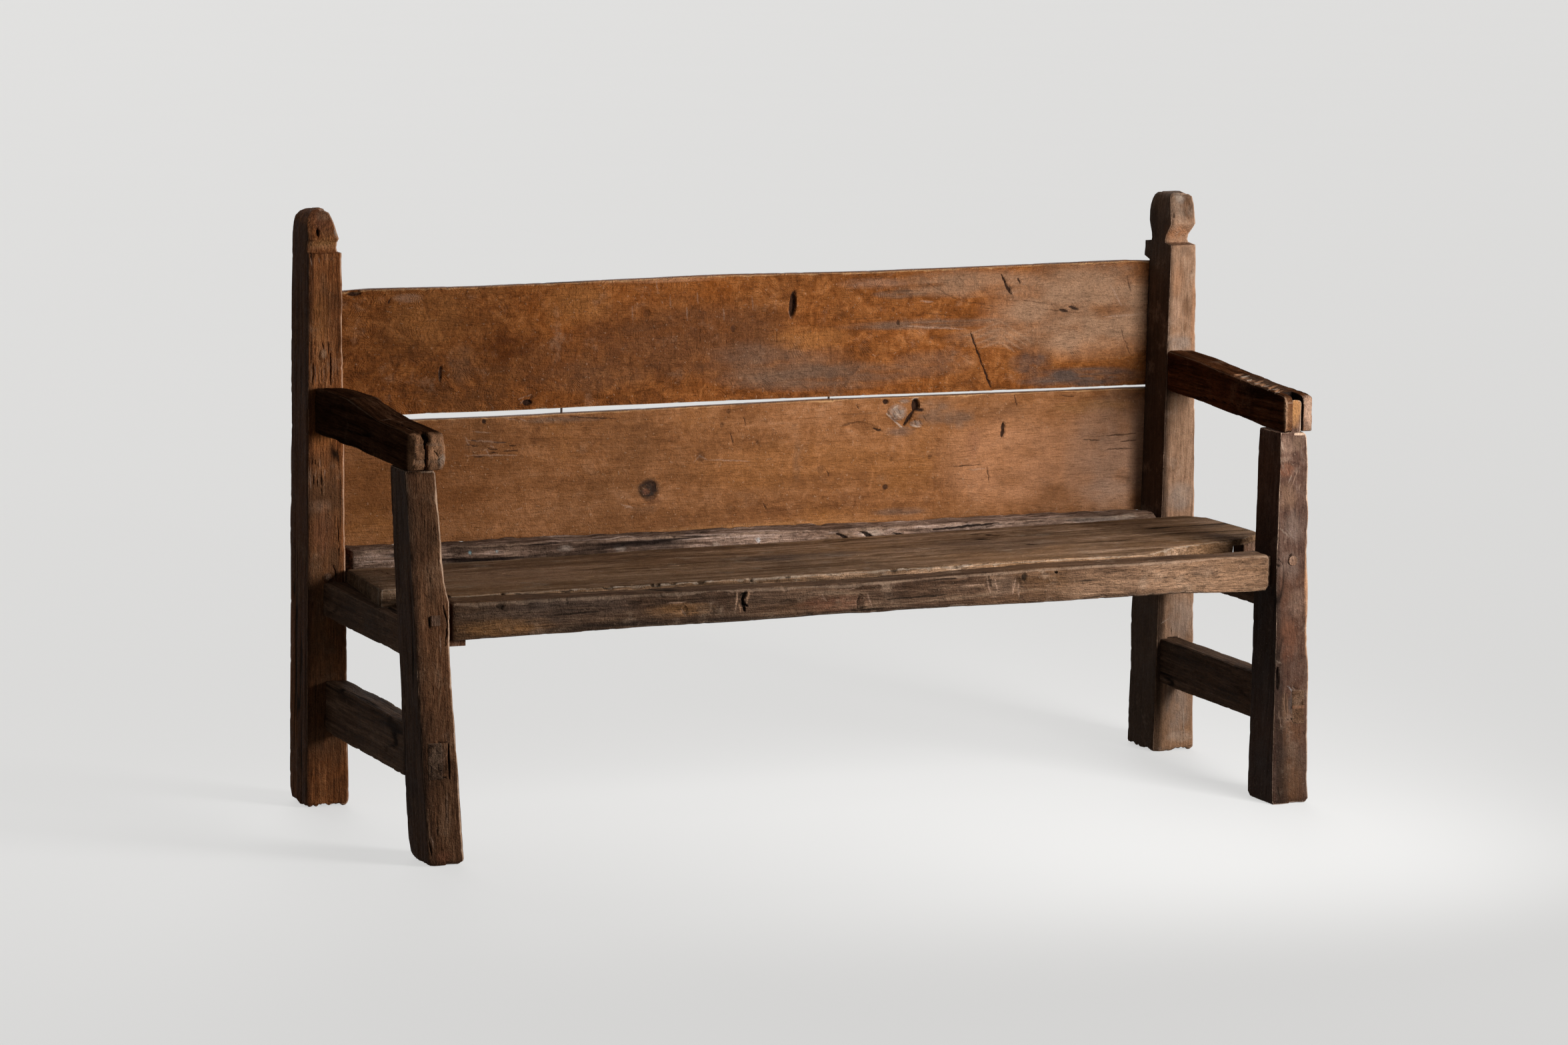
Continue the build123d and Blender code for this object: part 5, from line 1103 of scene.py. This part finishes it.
# rear rail behind the seat, fissured
rearRail = {
    "sections": [
        (-779.5, 208, 270, 376, 447), (-400, 208, 270, 376, 446.5), (0, 208, 270, 376, 446),
        (400, 208, 270, 376, 446.5), (770.8, 208, 270, 376, 447),
    ],
    "tenons": [(-800, -775, 386, 438), (766, 800, 386, 438)], "seed": 71, "round": 3,
    "arris": [(-1, 1, 3)], "chip": 5, "chipRun": 12, "wave": 2, "hew": 3.6, "facet": (34, 20, 20),
    "ridge": 1.8, "crack": 3.2, "crackShare": 0.4,
    "cuts": scores(front(208), [
        (-515, 416, -410, 414, 3.5, 4, 0.9), (-390, 412, -340, 413, 6, 7, 0.9),
        (-316, 415, -266, 414, 4, 5, 0.9), (-262, 415, -239, 415, 7, 8, 0.9),
        (-231, 416, -202, 417, 5, 6, 0.9), (-183, 414, -152, 417, 4, 5, 0.9),
        (-81, 416, 8.6, 420, 3, 3, 0.9), (22, 421, 99, 425, 3, 3, 0.9), (131, 438, 171, 417, 4, 4, 0.9),
        (177, 442, 211, 420, 5, 5, 0.9), (243, 433, 289, 421, 3, 3, 0.9), (322, 436, 454, 442, 3, 3, 0.9),
    ]),
    "tints": spots(front(208), front(10), [
        # the cyan, white and pale spots along the top are painted glints off the hewn lumps
        (-565, 435, 4.9, 3.5, "cyan", 0.9), (-513, 434, 3.7, 2.9, "cyan", 0.7),
        (-388, 434, 18, 7.1, "grey", 0.7), (-285, 430, 15, 7.2, "grey", 0.7),
        (-21, 433, 5.1, 6, "white", 0.8), (-101, 427, 7.7, 7.2, "pale", 0.5),
        (144, 430, 39, 10.9, "tan", 0.7), (203, 435, 26, 10.9, "pale", 0.5),
        (589, 436, 22, 7.3, "pink", 0.8), (656, 441, 81, 7.4, "grey", 0.7),
        (710, 444, 35, 6.2, "pale", 0.6), (-316, 432, 13, 11.9, "soot", 0.6),
        (-222, 436, 76, 11.9, "stain", 0.5), (375, 433, 80, 12, "stain", 0.4),
    ]),
    "finish": dict(
        lowFrame["finish"], grain="x", shift=(2, 6, 1), mottled=0.5,
        ramp=[
            (0, (0.060, 0.034, 0.023)), (0.5, (0.176, 0.108, 0.076)), (0.85, (0.300, 0.196, 0.145)),
            (1, (0.434, 0.310, 0.250)),
        ],
    ),
}
rail = tenonedRail("rear_rail_hewn", rearRail, 5, 228, 252)
setUp(rail, woodFinish("rear rail wood", rearRail["finish"]), "frame_wood", "rear_rail")

# seat: one twisted plank, notched at the left, swept back at the right
seat = {
    "frontEdge": [
        (-822.5, -68), (-746.2, -68), (-744.8, -203), (551.5, -203), (624.2, -146.3), (687.9, -124.9),
        (795.4, -94.1), (842.4, -55), (854.5, -22.2),
    ],
    "backEdge": [(-822.5, -60), (-790.5, 208), (830.3, 208), (851.5, 171), (854.5, -10)], "under": 394,
    "thick": {"leftRear": 21, "leftFront": 36, "rightRear": 46, "rightFront": 53}, "tongue": (768.5, 432),
    "seed": 81, "round": 3.5, "arris": [(-1, 1, 3)], "chip": 6, "chipRun": 14, "wave": 1.2, "hew": 0.6,
    "ridge": 0.6, "crack": 1.2, "crackShare": -0.15,
    "dents": [
        ((-655, -203, 431), (4, 7, 4), 0, 2.6, 0.55), ((-548, -203, 432), (6, 7, 5), 0, 3.6, 0.55),
        ((-540, -203, 432), (8, 7, 6), 0, 4.6, 0.55), ((-468, -203, 433), (10, 7, 4), 0, 2.6, 0.55),
        ((-386, -203, 434), (4, 7, 5), 0, 3.6, 0.55), ((-376, -203, 434), (6, 7, 6), 0, 4.6, 0.55),
        ((-349, -203, 434), (8, 7, 4), 0, 2.6, 0.55), ((-298, -203, 435), (10, 7, 5), 0, 3.6, 0.55),
        ((-205, -203, 435), (4, 7, 6), 0, 4.6, 0.55), ((-138, -203, 436), (6, 7, 4), 0, 2.6, 0.55),
        ((60, -203, 438), (8, 7, 5), 0, 3.6, 0.55), ((178, -203, 439), (10, 7, 6), 0, 4.6, 0.55),
    ],
    "cuts": scores(flat(430), [
        (-672, 37, -612, 26, 4, 4, 0.85), (-629, 31, -575, 14, 3.4, 3, 0.85),
        (-158, -7.4, 56, 20, 2.6, 1.6, 0.85), (-282, -7.5, -180, -0.6, 2.2, 1.4, 0.85),
        (148, -31, 320, -21, 2.2, 1.4, 0.85), (-467, -41, -348, -48, 2.2, 1.2, 0.85),
        (403, 98, 611, 143, 2.6, 1.6, 0.85), (611, 143, 738, 180, 2.2, 1.4, 0.85),
        (-730, -34, -646, -68, 2, 1.2, 0.85), (-96, -156, 32, -150, 2.4, 1.6, 0.85),
        (28, -72, 60, -59, 5, 2, 0.85),
    ]),
    "scrapes": scores(flat(430), [
        (488, 64, 685, 129), (611, 143, 645, 157), (-414, -20, -405, -23), (-378, -172, -366, -191),
        (-356, -209, -341, -220), (-297, -183, -287, -201), (-138, -173, -124, -192),
        (-241, -178, -228, -189), (-462, -168, -443, -182), (-534, -153, -520, -165), (707, 172, 792, 180),
        (-584, -94, -562, -101),
    ], 4, "pale", 0.6) + [
        ((-648, -202, 431), (-645, -201, 432), 2.5, "pale", 0.35),
        ((-541, -202, 432), (-533, -201, 433), 3.5, "pale", 0.47),
        ((-533, -202, 432), (-520, -201, 433), 4.5, "pale", 0.59),
        ((-461, -202, 433), (-443, -201, 434), 2.5, "pale", 0.71),
        ((-379, -202, 434), (-376, -201, 435), 3.5, "pale", 0.35),
        ((-369, -202, 434), (-361, -201, 435), 4.5, "pale", 0.47),
        ((-342, -202, 434), (-329, -201, 435), 2.5, "pale", 0.59),
        ((-291, -202, 435), (-273, -201, 436), 3.5, "pale", 0.71),
        ((-198, -202, 435), (-195, -201, 436), 4.5, "pale", 0.35),
        ((-131, -202, 436), (-123, -201, 437), 2.5, "pale", 0.47),
        ((67, -202, 438), (80, -201, 439), 3.5, "pale", 0.59),
        ((185, -202, 439), (203, -201, 440), 4.5, "pale", 0.71),
    ],
    "tints": spots(flat(430), flat(12), [
        (-480, 53, 132, 61, "tan", 0.3), (-576, -7.7, 185, 121, "tan", 0.8),
        (-49, 13, 90, 55, "stain", 0.6), (53, 13, 67, 41, "stain", 0.5), (501, 28, 104, 64, "brown", 0.45),
        (634, 28, 81, 57, "tan", 0.35), (353, -7.2, 228, 125, "greyBrown", 0.85),
        (-255, 61, 89, 41, "brown", 0.35), (-631, -123, 107, 39, "tan", 0.3),
    ]),
    "finish": {
        "grain": "x", "sway": 0.05, "bands": 30, "figure": 0.45, "fibrous": 0.3, "dimpled": 0.6,
        "ramp": [
            (0, (0.087, 0.048, 0.026)), (0.4, (0.194, 0.109, 0.060)), (0.75, (0.281, 0.167, 0.098)),
            (1, (0.389, 0.248, 0.160)),
        ],
        "warm": (0.273, 0.142, 0.066), "warmth": 0.45, "dusk": (0.055, 0.035, 0.023), "dusky": 0.5,
        "bare": (0.38, 0.29, 0.215), "mottled": 0.3, "porous": 0.55, "worn": 0.6, "specks": 0.08,
        "crackTone": (0.012, 0.008, 0.005), "dull": 0.6, "relief": 1.1, "shine": 0.005,
    },
}


def seatForm(points):
    x, y, z = points.T
    front = np.interp(x, *zip(*seat["frontEdge"]))
    back = np.interp(x, *zip(*seat["backEdge"]))
    along = (x + 861.5) / 1723
    thick = seat["thick"]
    y = front + (y + 203) / 411 * (back - front)
    across = (208 - y) / 411
    rear = thick["leftRear"] + (thick["rightRear"] - thick["leftRear"]) * along
    fore = thick["leftFront"] + (thick["rightFront"] - thick["leftFront"]) * along
    top = seat["under"] + rear + (fore - rear) * across
    under = np.interp(x, [seat["tongue"][0] - 4, seat["tongue"][0]], [seat["under"], seat["tongue"][1]])
    return np.column_stack([x, y, under + (z - 394) / 40 * (top - under)])


stations = [-822.5, -790.5, -746.2, -744.8, -300, 120, 551.5, 624.2, 687.9, 764.5, 768.5, 795.4, 842.4,
            851.5, 854.5]
slab = [(x, -203, 208, 394, 434) for x in stations]
plank = hewTimber("seat_plank_hewn", 0, slab, 6, 4.2)
weather(plank, 0, slab, seat, seatForm)
setUp(plank, woodFinish("seat wood", seat["finish"]), "seat_wood", "seat_plank")

# back boards
lowerBoard = {
    "sections": [
        (-835.7, 293, 313, 441, 659), (-553.1, 293, 313, 441, 659), (-470, 293, 313, 439.9, 659),
        (-170.8, 293, 313, 436, 663.2), (111.8, 293, 313, 435, 667), (427.6, 293, 313, 439, 667.5),
        (743.4, 293, 313, 441, 667.9), (826.5, 293, 313, 441, 668),
    ],
    "seed": 91, "round": 1.8, "arris": [(-1, 1, 3)], "chip": 3, "chipRun": 12, "wave": 0.8, "hew": 0.3,
    "ridge": 0.2, "crack": 0.3, "crackShare": -0.8,
    "dents": [
        ((214, 293, 616), (38, 5, 9), -10, 2.4, 0.22),
    ] + spots(front(293), front(8), [
        (496, 600, 4, 17, -3, 4, 0.95), (320, 652, 8.6, 13, 9, 1), (260, 660, 6.6, 4.9, 4, 0.9),
        (284, 640, 20, 16, -1.5, 0), (330, 642, 7.9, 3.7, 3, 0.7), (-202, 517, 15, 13, -1.6, 0),
        (-188, 522, 6.4, 13, 2.4, 0.55), (-199, 531, 13, 4.8, 2, 0.45), (-191, 505, 7.7, 4.8, 1.4, 0.3),
        (-510, 652, 5, 5.9, 1.6, 0.7), (-47, 654, 5.2, 4.9, 1.5, 0.4), (-100, 573, 10.2, 12, 1.2, 0.35),
        (-60, 629, 5.1, 6, 1.2, 0.4), (263, 504, 8, 6.1, 1, 0.6), (134, 541, 9.2, 9.8, 0.8, 0.35),
        (-458, 653, 10, 5.9, 1.6, 0.2), (-388, 649, 10, 5.9, 1.6, 0.2), (10.3, 595, 5.2, 4.8, 1, 0.4),
        (350, 556, 5.3, 4.9, 0.8, 0.4), (274, 554, 5.3, 6.1, 0.8, 0.35), (80, 622, 5.2, 3.7, 0.8, 0.3),
    ]),
    "cuts": scores(front(293), [
        (238, 613, 253, 607, 3, 2, 0.8), (178, 622, 222, 626, 2, 0.8, 0.5),
        (317, 642, 298, 616, 5, 5, 0.95),
    ]) + scores(front(293), [
        (263, 649, 267, 634), (267, 634, 283, 621), (274, 644, 279, 631), (284, 648, 290, 636),
        (327, 627, 335, 612), (319, 627, 322, 613), (335, 632, 346, 619),
    ], 1.7, 1.3, 0.5) + scores(front(293), [
        (-542, 612, -518, 607), (-507, 605, -484, 601), (-535, 619, -522, 618), (-491, 614, -466, 614),
        (-501, 596, -485, 596), (-474, 598, -447, 598), (-528, 590, -508, 590), (-462, 608, -450, 606),
        (-355, 655, -261, 648), (701, 580, 769, 584), (736, 569, 770, 571), (708, 556, 763, 556),
        (-18, 647, -13, 625), (-43, 616, -36, 592), (24, 485, 31, 472), (204, 656, 208, 646),
        (398, 536, 452, 538), (465, 534, 471, 504), (172, 618, 191, 621), (516, 667, 524, 640),
        (610, 660, 640, 656), (660, 576, 694, 573), (147, 539, 152, 527),
    ], 1.9, 1.4, 0.62),
    "scrapes": scores(front(293), [
        (262, 639, 274, 628), (274, 628, 295, 611), (276, 648, 285, 653), (280, 641, 291, 630),
        (314, 615, 332, 611), (310, 662, 326, 665),
    ], 2.4, "pale", 0.6) + scores(front(293), [
        (-546, 627, -537, 611), (-540, 620, -470, 613), (-506, 603, -498, 588), (-546, 594, -447, 590),
        (-532, 635, -498, 632), (-498, 610, -490, 605), (-472, 657, -448, 652), (-444, 655, -430, 650),
        (-394, 654, -375, 649), (-252, 495, -227, 487), (-244, 487, -232, 490), (-113, 564, -98, 578),
        (-103, 576, -85, 568), (-87, 568, -3.3, 562), (-418, 661, -318, 659), (-448, 493, -436, 496),
        (425, 529, 463, 530),
    ], 2, "pink", 0.42),
    "tints": spots(front(293), front(8), [
        (-190, 498, 19, 10.8, "umber", 0.8), (-198, 519, 24, 22, "soot", 0.9),
        (-197, 520, 22, 18, "soot", 0.9), (-204, 515, 8.9, 7.2, "rust", 0.6),
        (358, 638, 45, 27, "greyBrown", 0.6), (290, 605, 34, 11, "stain", 0.55),
        (284, 640, 21, 17, "grey", 0.75), (322, 618, 15, 7.3, "grey", 0.6),
        (298, 660, 13, 4.9, "grey", 0.6), (409, 624, 35, 22, "greyBrown", 0.6),
        # the gold and pink ovals light the right end, partly the board's own colour and partly painted
        # light where the right leg and arm shade it
        (600, 541, 258, 111, "gold", 0.85), (736, 535, 124, 137, "pink", 0.5),
        (-628, 577, 209, 129, "russet", 0.75), (107, 548, 274, 56, "orange", 0.35),
        (711, 481, 63, 27, "pink", 0.4), (-362, 650, 88, 7.1, "greyBrown", 0.6),
        (293, 458, 66, 8.6, "stain", 0.5), (88, 561, 10.4, 48, "greyBrown", 0.25),
        (437, 578, 16, 37, "rust", 0.35), (679, 637, 96, 15, "amber", 0.4),
        (-517, 610, 37, 16, "brown", 0.4), (490, 637, 81, 17, "brown", 0.3),
        (-208, 483, 33, 9.6, "brown", 0.5), (31, 442, 260, 9.7, "amber", 0.4),
    ]),
    "finish": {
        "grain": "x", "sway": 0.045, "bands": 22, "figure": 0.45, "curly": 0.4, "calm": 0.2,
        "fibrous": 0.08, "grained": 0.5, "arrisTone": (0.60, 0.33, 0.15), "dimpled": 0.8,
        "shift": (2, 0, 5),
        "ramp": [
            (0, (0.104, 0.036, 0.011)), (0.45, (0.202, 0.078, 0.026)), (0.8, (0.271, 0.114, 0.045)),
            (1, (0.335, 0.157, 0.074)),
        ],
        "warm": (0.263, 0.098, 0.020), "warmth": 0.5, "dusk": (0.11, 0.044, 0.015), "dusky": 0.45,
        "bare": (0.42, 0.25, 0.15), "mottled": 0.14, "porous": 0.22, "worn": 0.7, "specks": 0.35,
        "crackTone": (0.018, 0.008, 0.005), "dull": 0.5, "relief": 0.75, "shine": 0.07,
    },
}
upperBoard = {
    "sections": [
        (-835.7, 293, 313, 669, 884), (-719.3, 293, 313, 669.4, 890), (-536.5, 293, 313, 669.8, 890),
        (-470, 293, 313, 670, 891), (-37.8, 293, 313, 672.3, 898), (228.1, 293, 313, 673, 897),
        (743.4, 293, 313, 673, 904), (826.5, 293, 313, 673, 901),
    ],
    "seed": 97, "round": 2.0, "arris": [(-1, 1, 3.5)], "chip": 4, "chipRun": 12, "wave": 1.1, "hew": 0.4,
    "ridge": 0.2, "crack": 0.3, "crackShare": -0.8,
    "dents": [
        ((75, 293, 842), (7, 9, 27), -5, 8.5, 1), ((-592, 293, 739), (4, 6, 18), -5, 3, 0.7),
    ] + spots(front(293), front(8), [
        (-206, 834, 7.6, 10.7, -20, 1.6, 0.35), (-40, 802, 6.4, 8.4, 1.6, 0.45),
        (-323, 769, 11.3, 14, 1.4, 0.3), (-31, 853, 14, 3.6, 0.8, 0.3), (272, 827, 5.3, 4.9, 1, 0.4),
        (282, 803, 3.9, 6.1, 1.4, 0.6), (43, 803, 3.8, 4.8, -1, 0), (-401, 828, 8.8, 16, 20, 1.2, 0.1),
        (-468, 707, 12, 9.4, 1.2, 0.1), (-752, 884, 15, 5.8, 4, 0.7), (-430, 683, 10, 5.9, 5, 0.85),
    ]),
    "cuts": scores(front(293), [
        (-426, 687, -420, 694, 2.6, 2, 0.6), (-690, 863, -684, 874, 2.2, 1.6, 0.8),
        (427, 783, 437, 755, 2.6, 2.4, 0.85), (437, 756, 453, 718, 2.6, 2.4, 0.85),
        (453, 719, 471, 677, 2.6, 2.4, 0.85), (486, 885, 496, 870, 3.4, 2, 0.75),
        (493, 872, 507, 850, 4.4, 3, 0.75), (520, 878, 524, 867, 3.2, 2, 0.75),
        (606, 817, 621, 814, 5, 2, 0.75), (625, 823, 643, 817, 4, 2, 0.75),
    ]) + scores(front(293), [
        (248, 861, 330, 860), (337, 874, 404, 839), (404, 839, 485, 826), (525, 838, 599, 826),
        (325, 819, 405, 812), (545, 823, 654, 810), (131, 668, 223, 670), (181, 811, 259, 814),
    ], 2.2, 0.7, 0.4) + scores(front(293), [
        (731, 783, 740, 756, 2.2, 0.8, 0.5), (740, 758, 753, 728, 2.2, 0.8, 0.5),
        (740, 877, 751, 844, 2.2, 0.8, 0.5),
    ]) + scores(front(293), [
        (-86, 867, -86, 840), (-52, 800, -53, 774), (-16, 805, -13, 779), (12, 780, 11.5, 754),
        (-129, 790, -130, 764), (-153, 773, -153, 747), (-180, 756, -180, 730), (-237, 758, -238, 732),
        (44, 797, 44, 771), (96, 796, 96, 769), (116, 801, 115, 775), (-288, 837, -289, 811),
        (-259, 812, -256, 786), (-78, 783, -79, 757), (-104, 808, -105, 781), (-519, 855, -520, 829),
        (-618, 858, -619, 832), (24, 840, 23, 813),
    ], 1.7, 0.9, 0.32),
    "scrapes": scores(front(293), [
        (68, 831, 72, 817, 2.5, "pink", 0.8), (-594, 745, -592, 726, 2.5, "pink", 0.8),
        (-447, 689, -432, 695, 2, "pink", 0.4), (-443, 681, -436, 688, 2, "pink", 0.4),
        (-431, 694, -421, 697, 2, "pink", 0.4), (707, 861, 732, 821, 2.6, "pink", 0.5),
        (695, 802, 772, 804, 2.6, "pink", 0.5), (293, 797, 419, 787, 2.6, "pink", 0.5),
        (325, 841, 351, 839, 2.6, "pink", 0.5),
    ]) + scores(front(293), [
        (447, 751, 484, 763), (484, 763, 517, 743), (436, 759, 486, 775), (486, 775, 530, 747),
        (424, 766, 487, 787), (487, 787, 542, 752), (412, 774, 488, 799), (488, 799, 555, 757),
    ], 3, "tan", 0.4) + scores(front(293), [
        (-234, 847, -232, 823), (-162, 866, -160, 842), (-130, 844, -128, 820), (-110, 871, -108, 847),
        (-188, 893, -186, 869), (-4.5, 858, -2.8, 834), (-60, 842, -58, 818),
    ], 1.8, "pink", 0.4),
    "tints": spots(front(293), front(8), [
        (-618, 834, 86, 58, "orange", 0.35), (-472, 781, 60, 35, "deepOrange", 0.9),
        (-129, 790, 243, 86, "umber", 0.7), (-356, 750, 126, 54, "umber", 0.45),
        (-553, 756, 32, 42, "brown", 0.5), (-342, 856, 75, 42, "orange", 0.5),
        (39, 737, 168, 50, "greyBrown", 0.5), (339, 799, 199, 10.9, "greyBrown", 0.75),
        (285, 855, 61, 9.6, "greyBrown", 0.6), (130, 710, 222, 29, "greyBrown", 0.6),
        (110, 780, 91, 24, "orange", 0.65), (660, 816, 231, 98, "tan", 0.85),
        (430, 871, 173, 29, "tan", 0.6), (650, 692, 143, 21, "stain", 0.85),
        (548, 721, 49, 25, "stain", 0.55), (-188, 894, 146, 7.1, "gold", 0.7),
        (-652, 874, 32, 9.3, "pink", 0.4), (354, 727, 93, 29, "greyBrown", 0.4),
        (-293, 724, 114, 36, "brown", 0.35), (486, 772, 121, 22, "tan", 0.4),
        (232, 876, 79, 12, "pink", 0.3),
    ]),
    "finish": {
        "grain": "x", "sway": 0.07, "bands": 14, "figure": 0.3, "curly": 0.6, "calm": 0.18,
        "fibrous": 0.06, "grained": 0.3, "arrisTone": (0.60, 0.33, 0.15), "dimpled": 1.2,
        "shift": (5, 3, 0),
        "ramp": [
            (0, (0.089, 0.026, 0.005)), (0.45, (0.174, 0.053, 0.011)), (0.8, (0.240, 0.081, 0.020)),
            (1, (0.311, 0.116, 0.035)),
        ],
        "warm": (0.254, 0.067, 0.008), "warmth": 0.55, "dusk": (0.085, 0.036, 0.014), "dusky": 0.45,
        "bare": (0.42, 0.25, 0.155), "mottled": 0.2, "porous": 0.15, "worn": 0.7, "specks": 0.3,
        "crackTone": (0.018, 0.008, 0.005), "dull": 0.5, "relief": 0.85, "saw": (300, 12, 14),
        "sawDepth": 0.6, "rings": 420, "ringed": 0.14, "shine": 0.07,
    },
}
for name, look in (("back_board_lower", lowerBoard), ("back_board_upper", upperBoard)):
    board = hewTimber(name + "_sawn", 0, look["sections"], 5, 3.4)
    weather(board, 0, look["sections"], look)
    setUp(board, woodFinish(name.replace("_", " ") + " wood", look["finish"]), "board_wood", name)

# pegs, wedges and packing stay as the solids, in old wood; nails and pins in rusty iron
pegFinish = dict(
    leftLeg["finish"], shift=(8, 3, 1), worn=0, bands=90,
    ramp=[
        (0, (0.085, 0.045, 0.028)), (0.45, (0.17, 0.098, 0.064)), (0.8, (0.24, 0.15, 0.105)),
        (1, (0.32, 0.21, 0.15)),
    ],
)
pegWood = woodFinish("peg wood", pegFinish, marked=False)
ironFinish = {
    "ramp": [(0.3, (0.018, 0.014, 0.012)), (0.55, (0.050, 0.030, 0.022)), (0.75, (0.115, 0.050, 0.026))],
    "relief": 0.6,
}
iron, ironShader, wire, place = newFinish("rusty iron")
rust = place.noise(240, 4, 0.7)
feed(ironShader, {"Base Color": rust.ramp(ironFinish["ramp"]), "Roughness": 0.35 + 0.6 * rust,
                  "Metallic": 0.9 - 1.2 * rust, "Normal": rust.bump(ironFinish["relief"], 0.001)})
woodNodes = ("front_rail_peg_left", "front_rail_peg_right", "stretcher_wedges", "rail_packing_slip",
             "seat_packing_block")
ironNodes = ("seat_nails", "board_nails", "board_pins")
for finish, names in ((pegWood, woodNodes), (iron, ironNodes)):
    for name in names:
        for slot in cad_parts[name].material_slots:
            slot.material = finish
print("pegs and iron finished")

# floor, light and camera
light = {"sky": 0.16, "pale": (0.80, 0.80, 0.79),
         "window": {"at": (1.1, -1.55, 1.05), "aim": (0, 0.2, 0.6), "size": 0.8, "power": 22, "spread": 95},
         "fill": {"from": (0.15, 1, 0.5), "strength": 0.7, "soft": 40},
         "floor": {"seen": (0.25, 0.248, 0.244), "bounce": (0.16, 0.155, 0.15),
                   "glow": (0.56, 0.557, 0.55)}}


def seenRays(wire):
    # 1 for what the camera sees, straight or in a reflection
    kinds = ("Is Camera Ray", "Is Glossy Ray", "Is Transmission Ray")
    rays = [wire.add("ShaderNodeLightPath", {}, {}, kind) for kind in kinds]
    return wire.sum("MINIMUM", rays[0] + rays[1] + rays[2], 1)


clearSelection()
bpy.ops.mesh.primitive_plane_add(size=140)
floor = bpy.context.object
floor.name = "floor"
paleFloor, floorShader, wire, place = newFinish("pale floor")
seen = seenRays(wire)
cloudy = place.noise(0.9, 4, 0.6)
tone, glow = (wire.add("ShaderNodeMix", {"data_type": "RGBA"}, {0: seen, 6: unseen, 7: shown}, 2)
              for unseen, shown in ((light["floor"]["bounce"], light["floor"]["seen"]),
                                    ((0, 0, 0), light["floor"]["glow"])))
feed(floorShader, {"Base Color": tone.lit(0.96 + 0.08 * cloudy), "Emission Color": glow})
floorShader.inputs["Emission Strength"].default_value = 1
floorShader.inputs["Roughness"].default_value = 0.8
floor.data.materials.append(paleFloor)

world = bpy.data.worlds.new("studio")
world.use_nodes = True
bpy.context.scene.world = world
sky = Wire(world.node_tree)
background = world.node_tree.nodes["Background"]
background.inputs["Color"].default_value = (*light["pale"], 1)
feed(background, {"Strength": light["sky"] + (1 - light["sky"]) * seenRays(sky)})

lamp = light["window"]
bpy.ops.object.light_add(type="AREA", location=lamp["at"])
window = bpy.context.object
window.name = "window light"
window.rotation_euler = (Vector(lamp["at"]) - Vector(lamp["aim"])).to_track_quat("Z", "Y").to_euler()
window.data.shape, window.data.size, window.data.energy = "SQUARE", lamp["size"], lamp["power"]
window.data.spread = math.radians(lamp["spread"])
lamp = light["fill"]
bpy.ops.object.light_add(type="SUN")
fill = bpy.context.object
fill.name = "fill from behind"
fill.rotation_euler = Vector(lamp["from"]).to_track_quat("Z", "Y").to_euler()
fill.data.energy, fill.data.angle = lamp["strength"], math.radians(lamp["soft"])

camera = {"lens": 126.549, "yaw": 23.16547, "pitch": -8.57289, "roll": 0.95953,
          "at": (-3.79143, -8.71945, 1.92572)}
bpy.ops.object.camera_add(location=camera["at"])
eye = bpy.context.object
yaw, pitch, roll = (math.radians(camera[k]) for k in ("yaw", "pitch", "roll"))
ahead = Vector((math.sin(yaw) * math.cos(pitch), math.cos(yaw) * math.cos(pitch), math.sin(pitch)))
level = Vector((math.cos(yaw), -math.sin(yaw), 0))
upward = level.cross(ahead)
across = math.cos(roll) * level + math.sin(roll) * upward
upright = math.cos(roll) * upward - math.sin(roll) * level
turned = Matrix((across, upright, -ahead)).transposed().to_4x4()
eye.matrix_world = Matrix.Translation(camera["at"]) @ turned
eye.data.lens = camera["lens"]
eye.data.sensor_fit = "HORIZONTAL"
eye.data.clip_end = 300
bpy.context.scene.camera = eye
bpy.context.scene.view_settings.view_transform = "Standard"
print("floor, light and camera set")
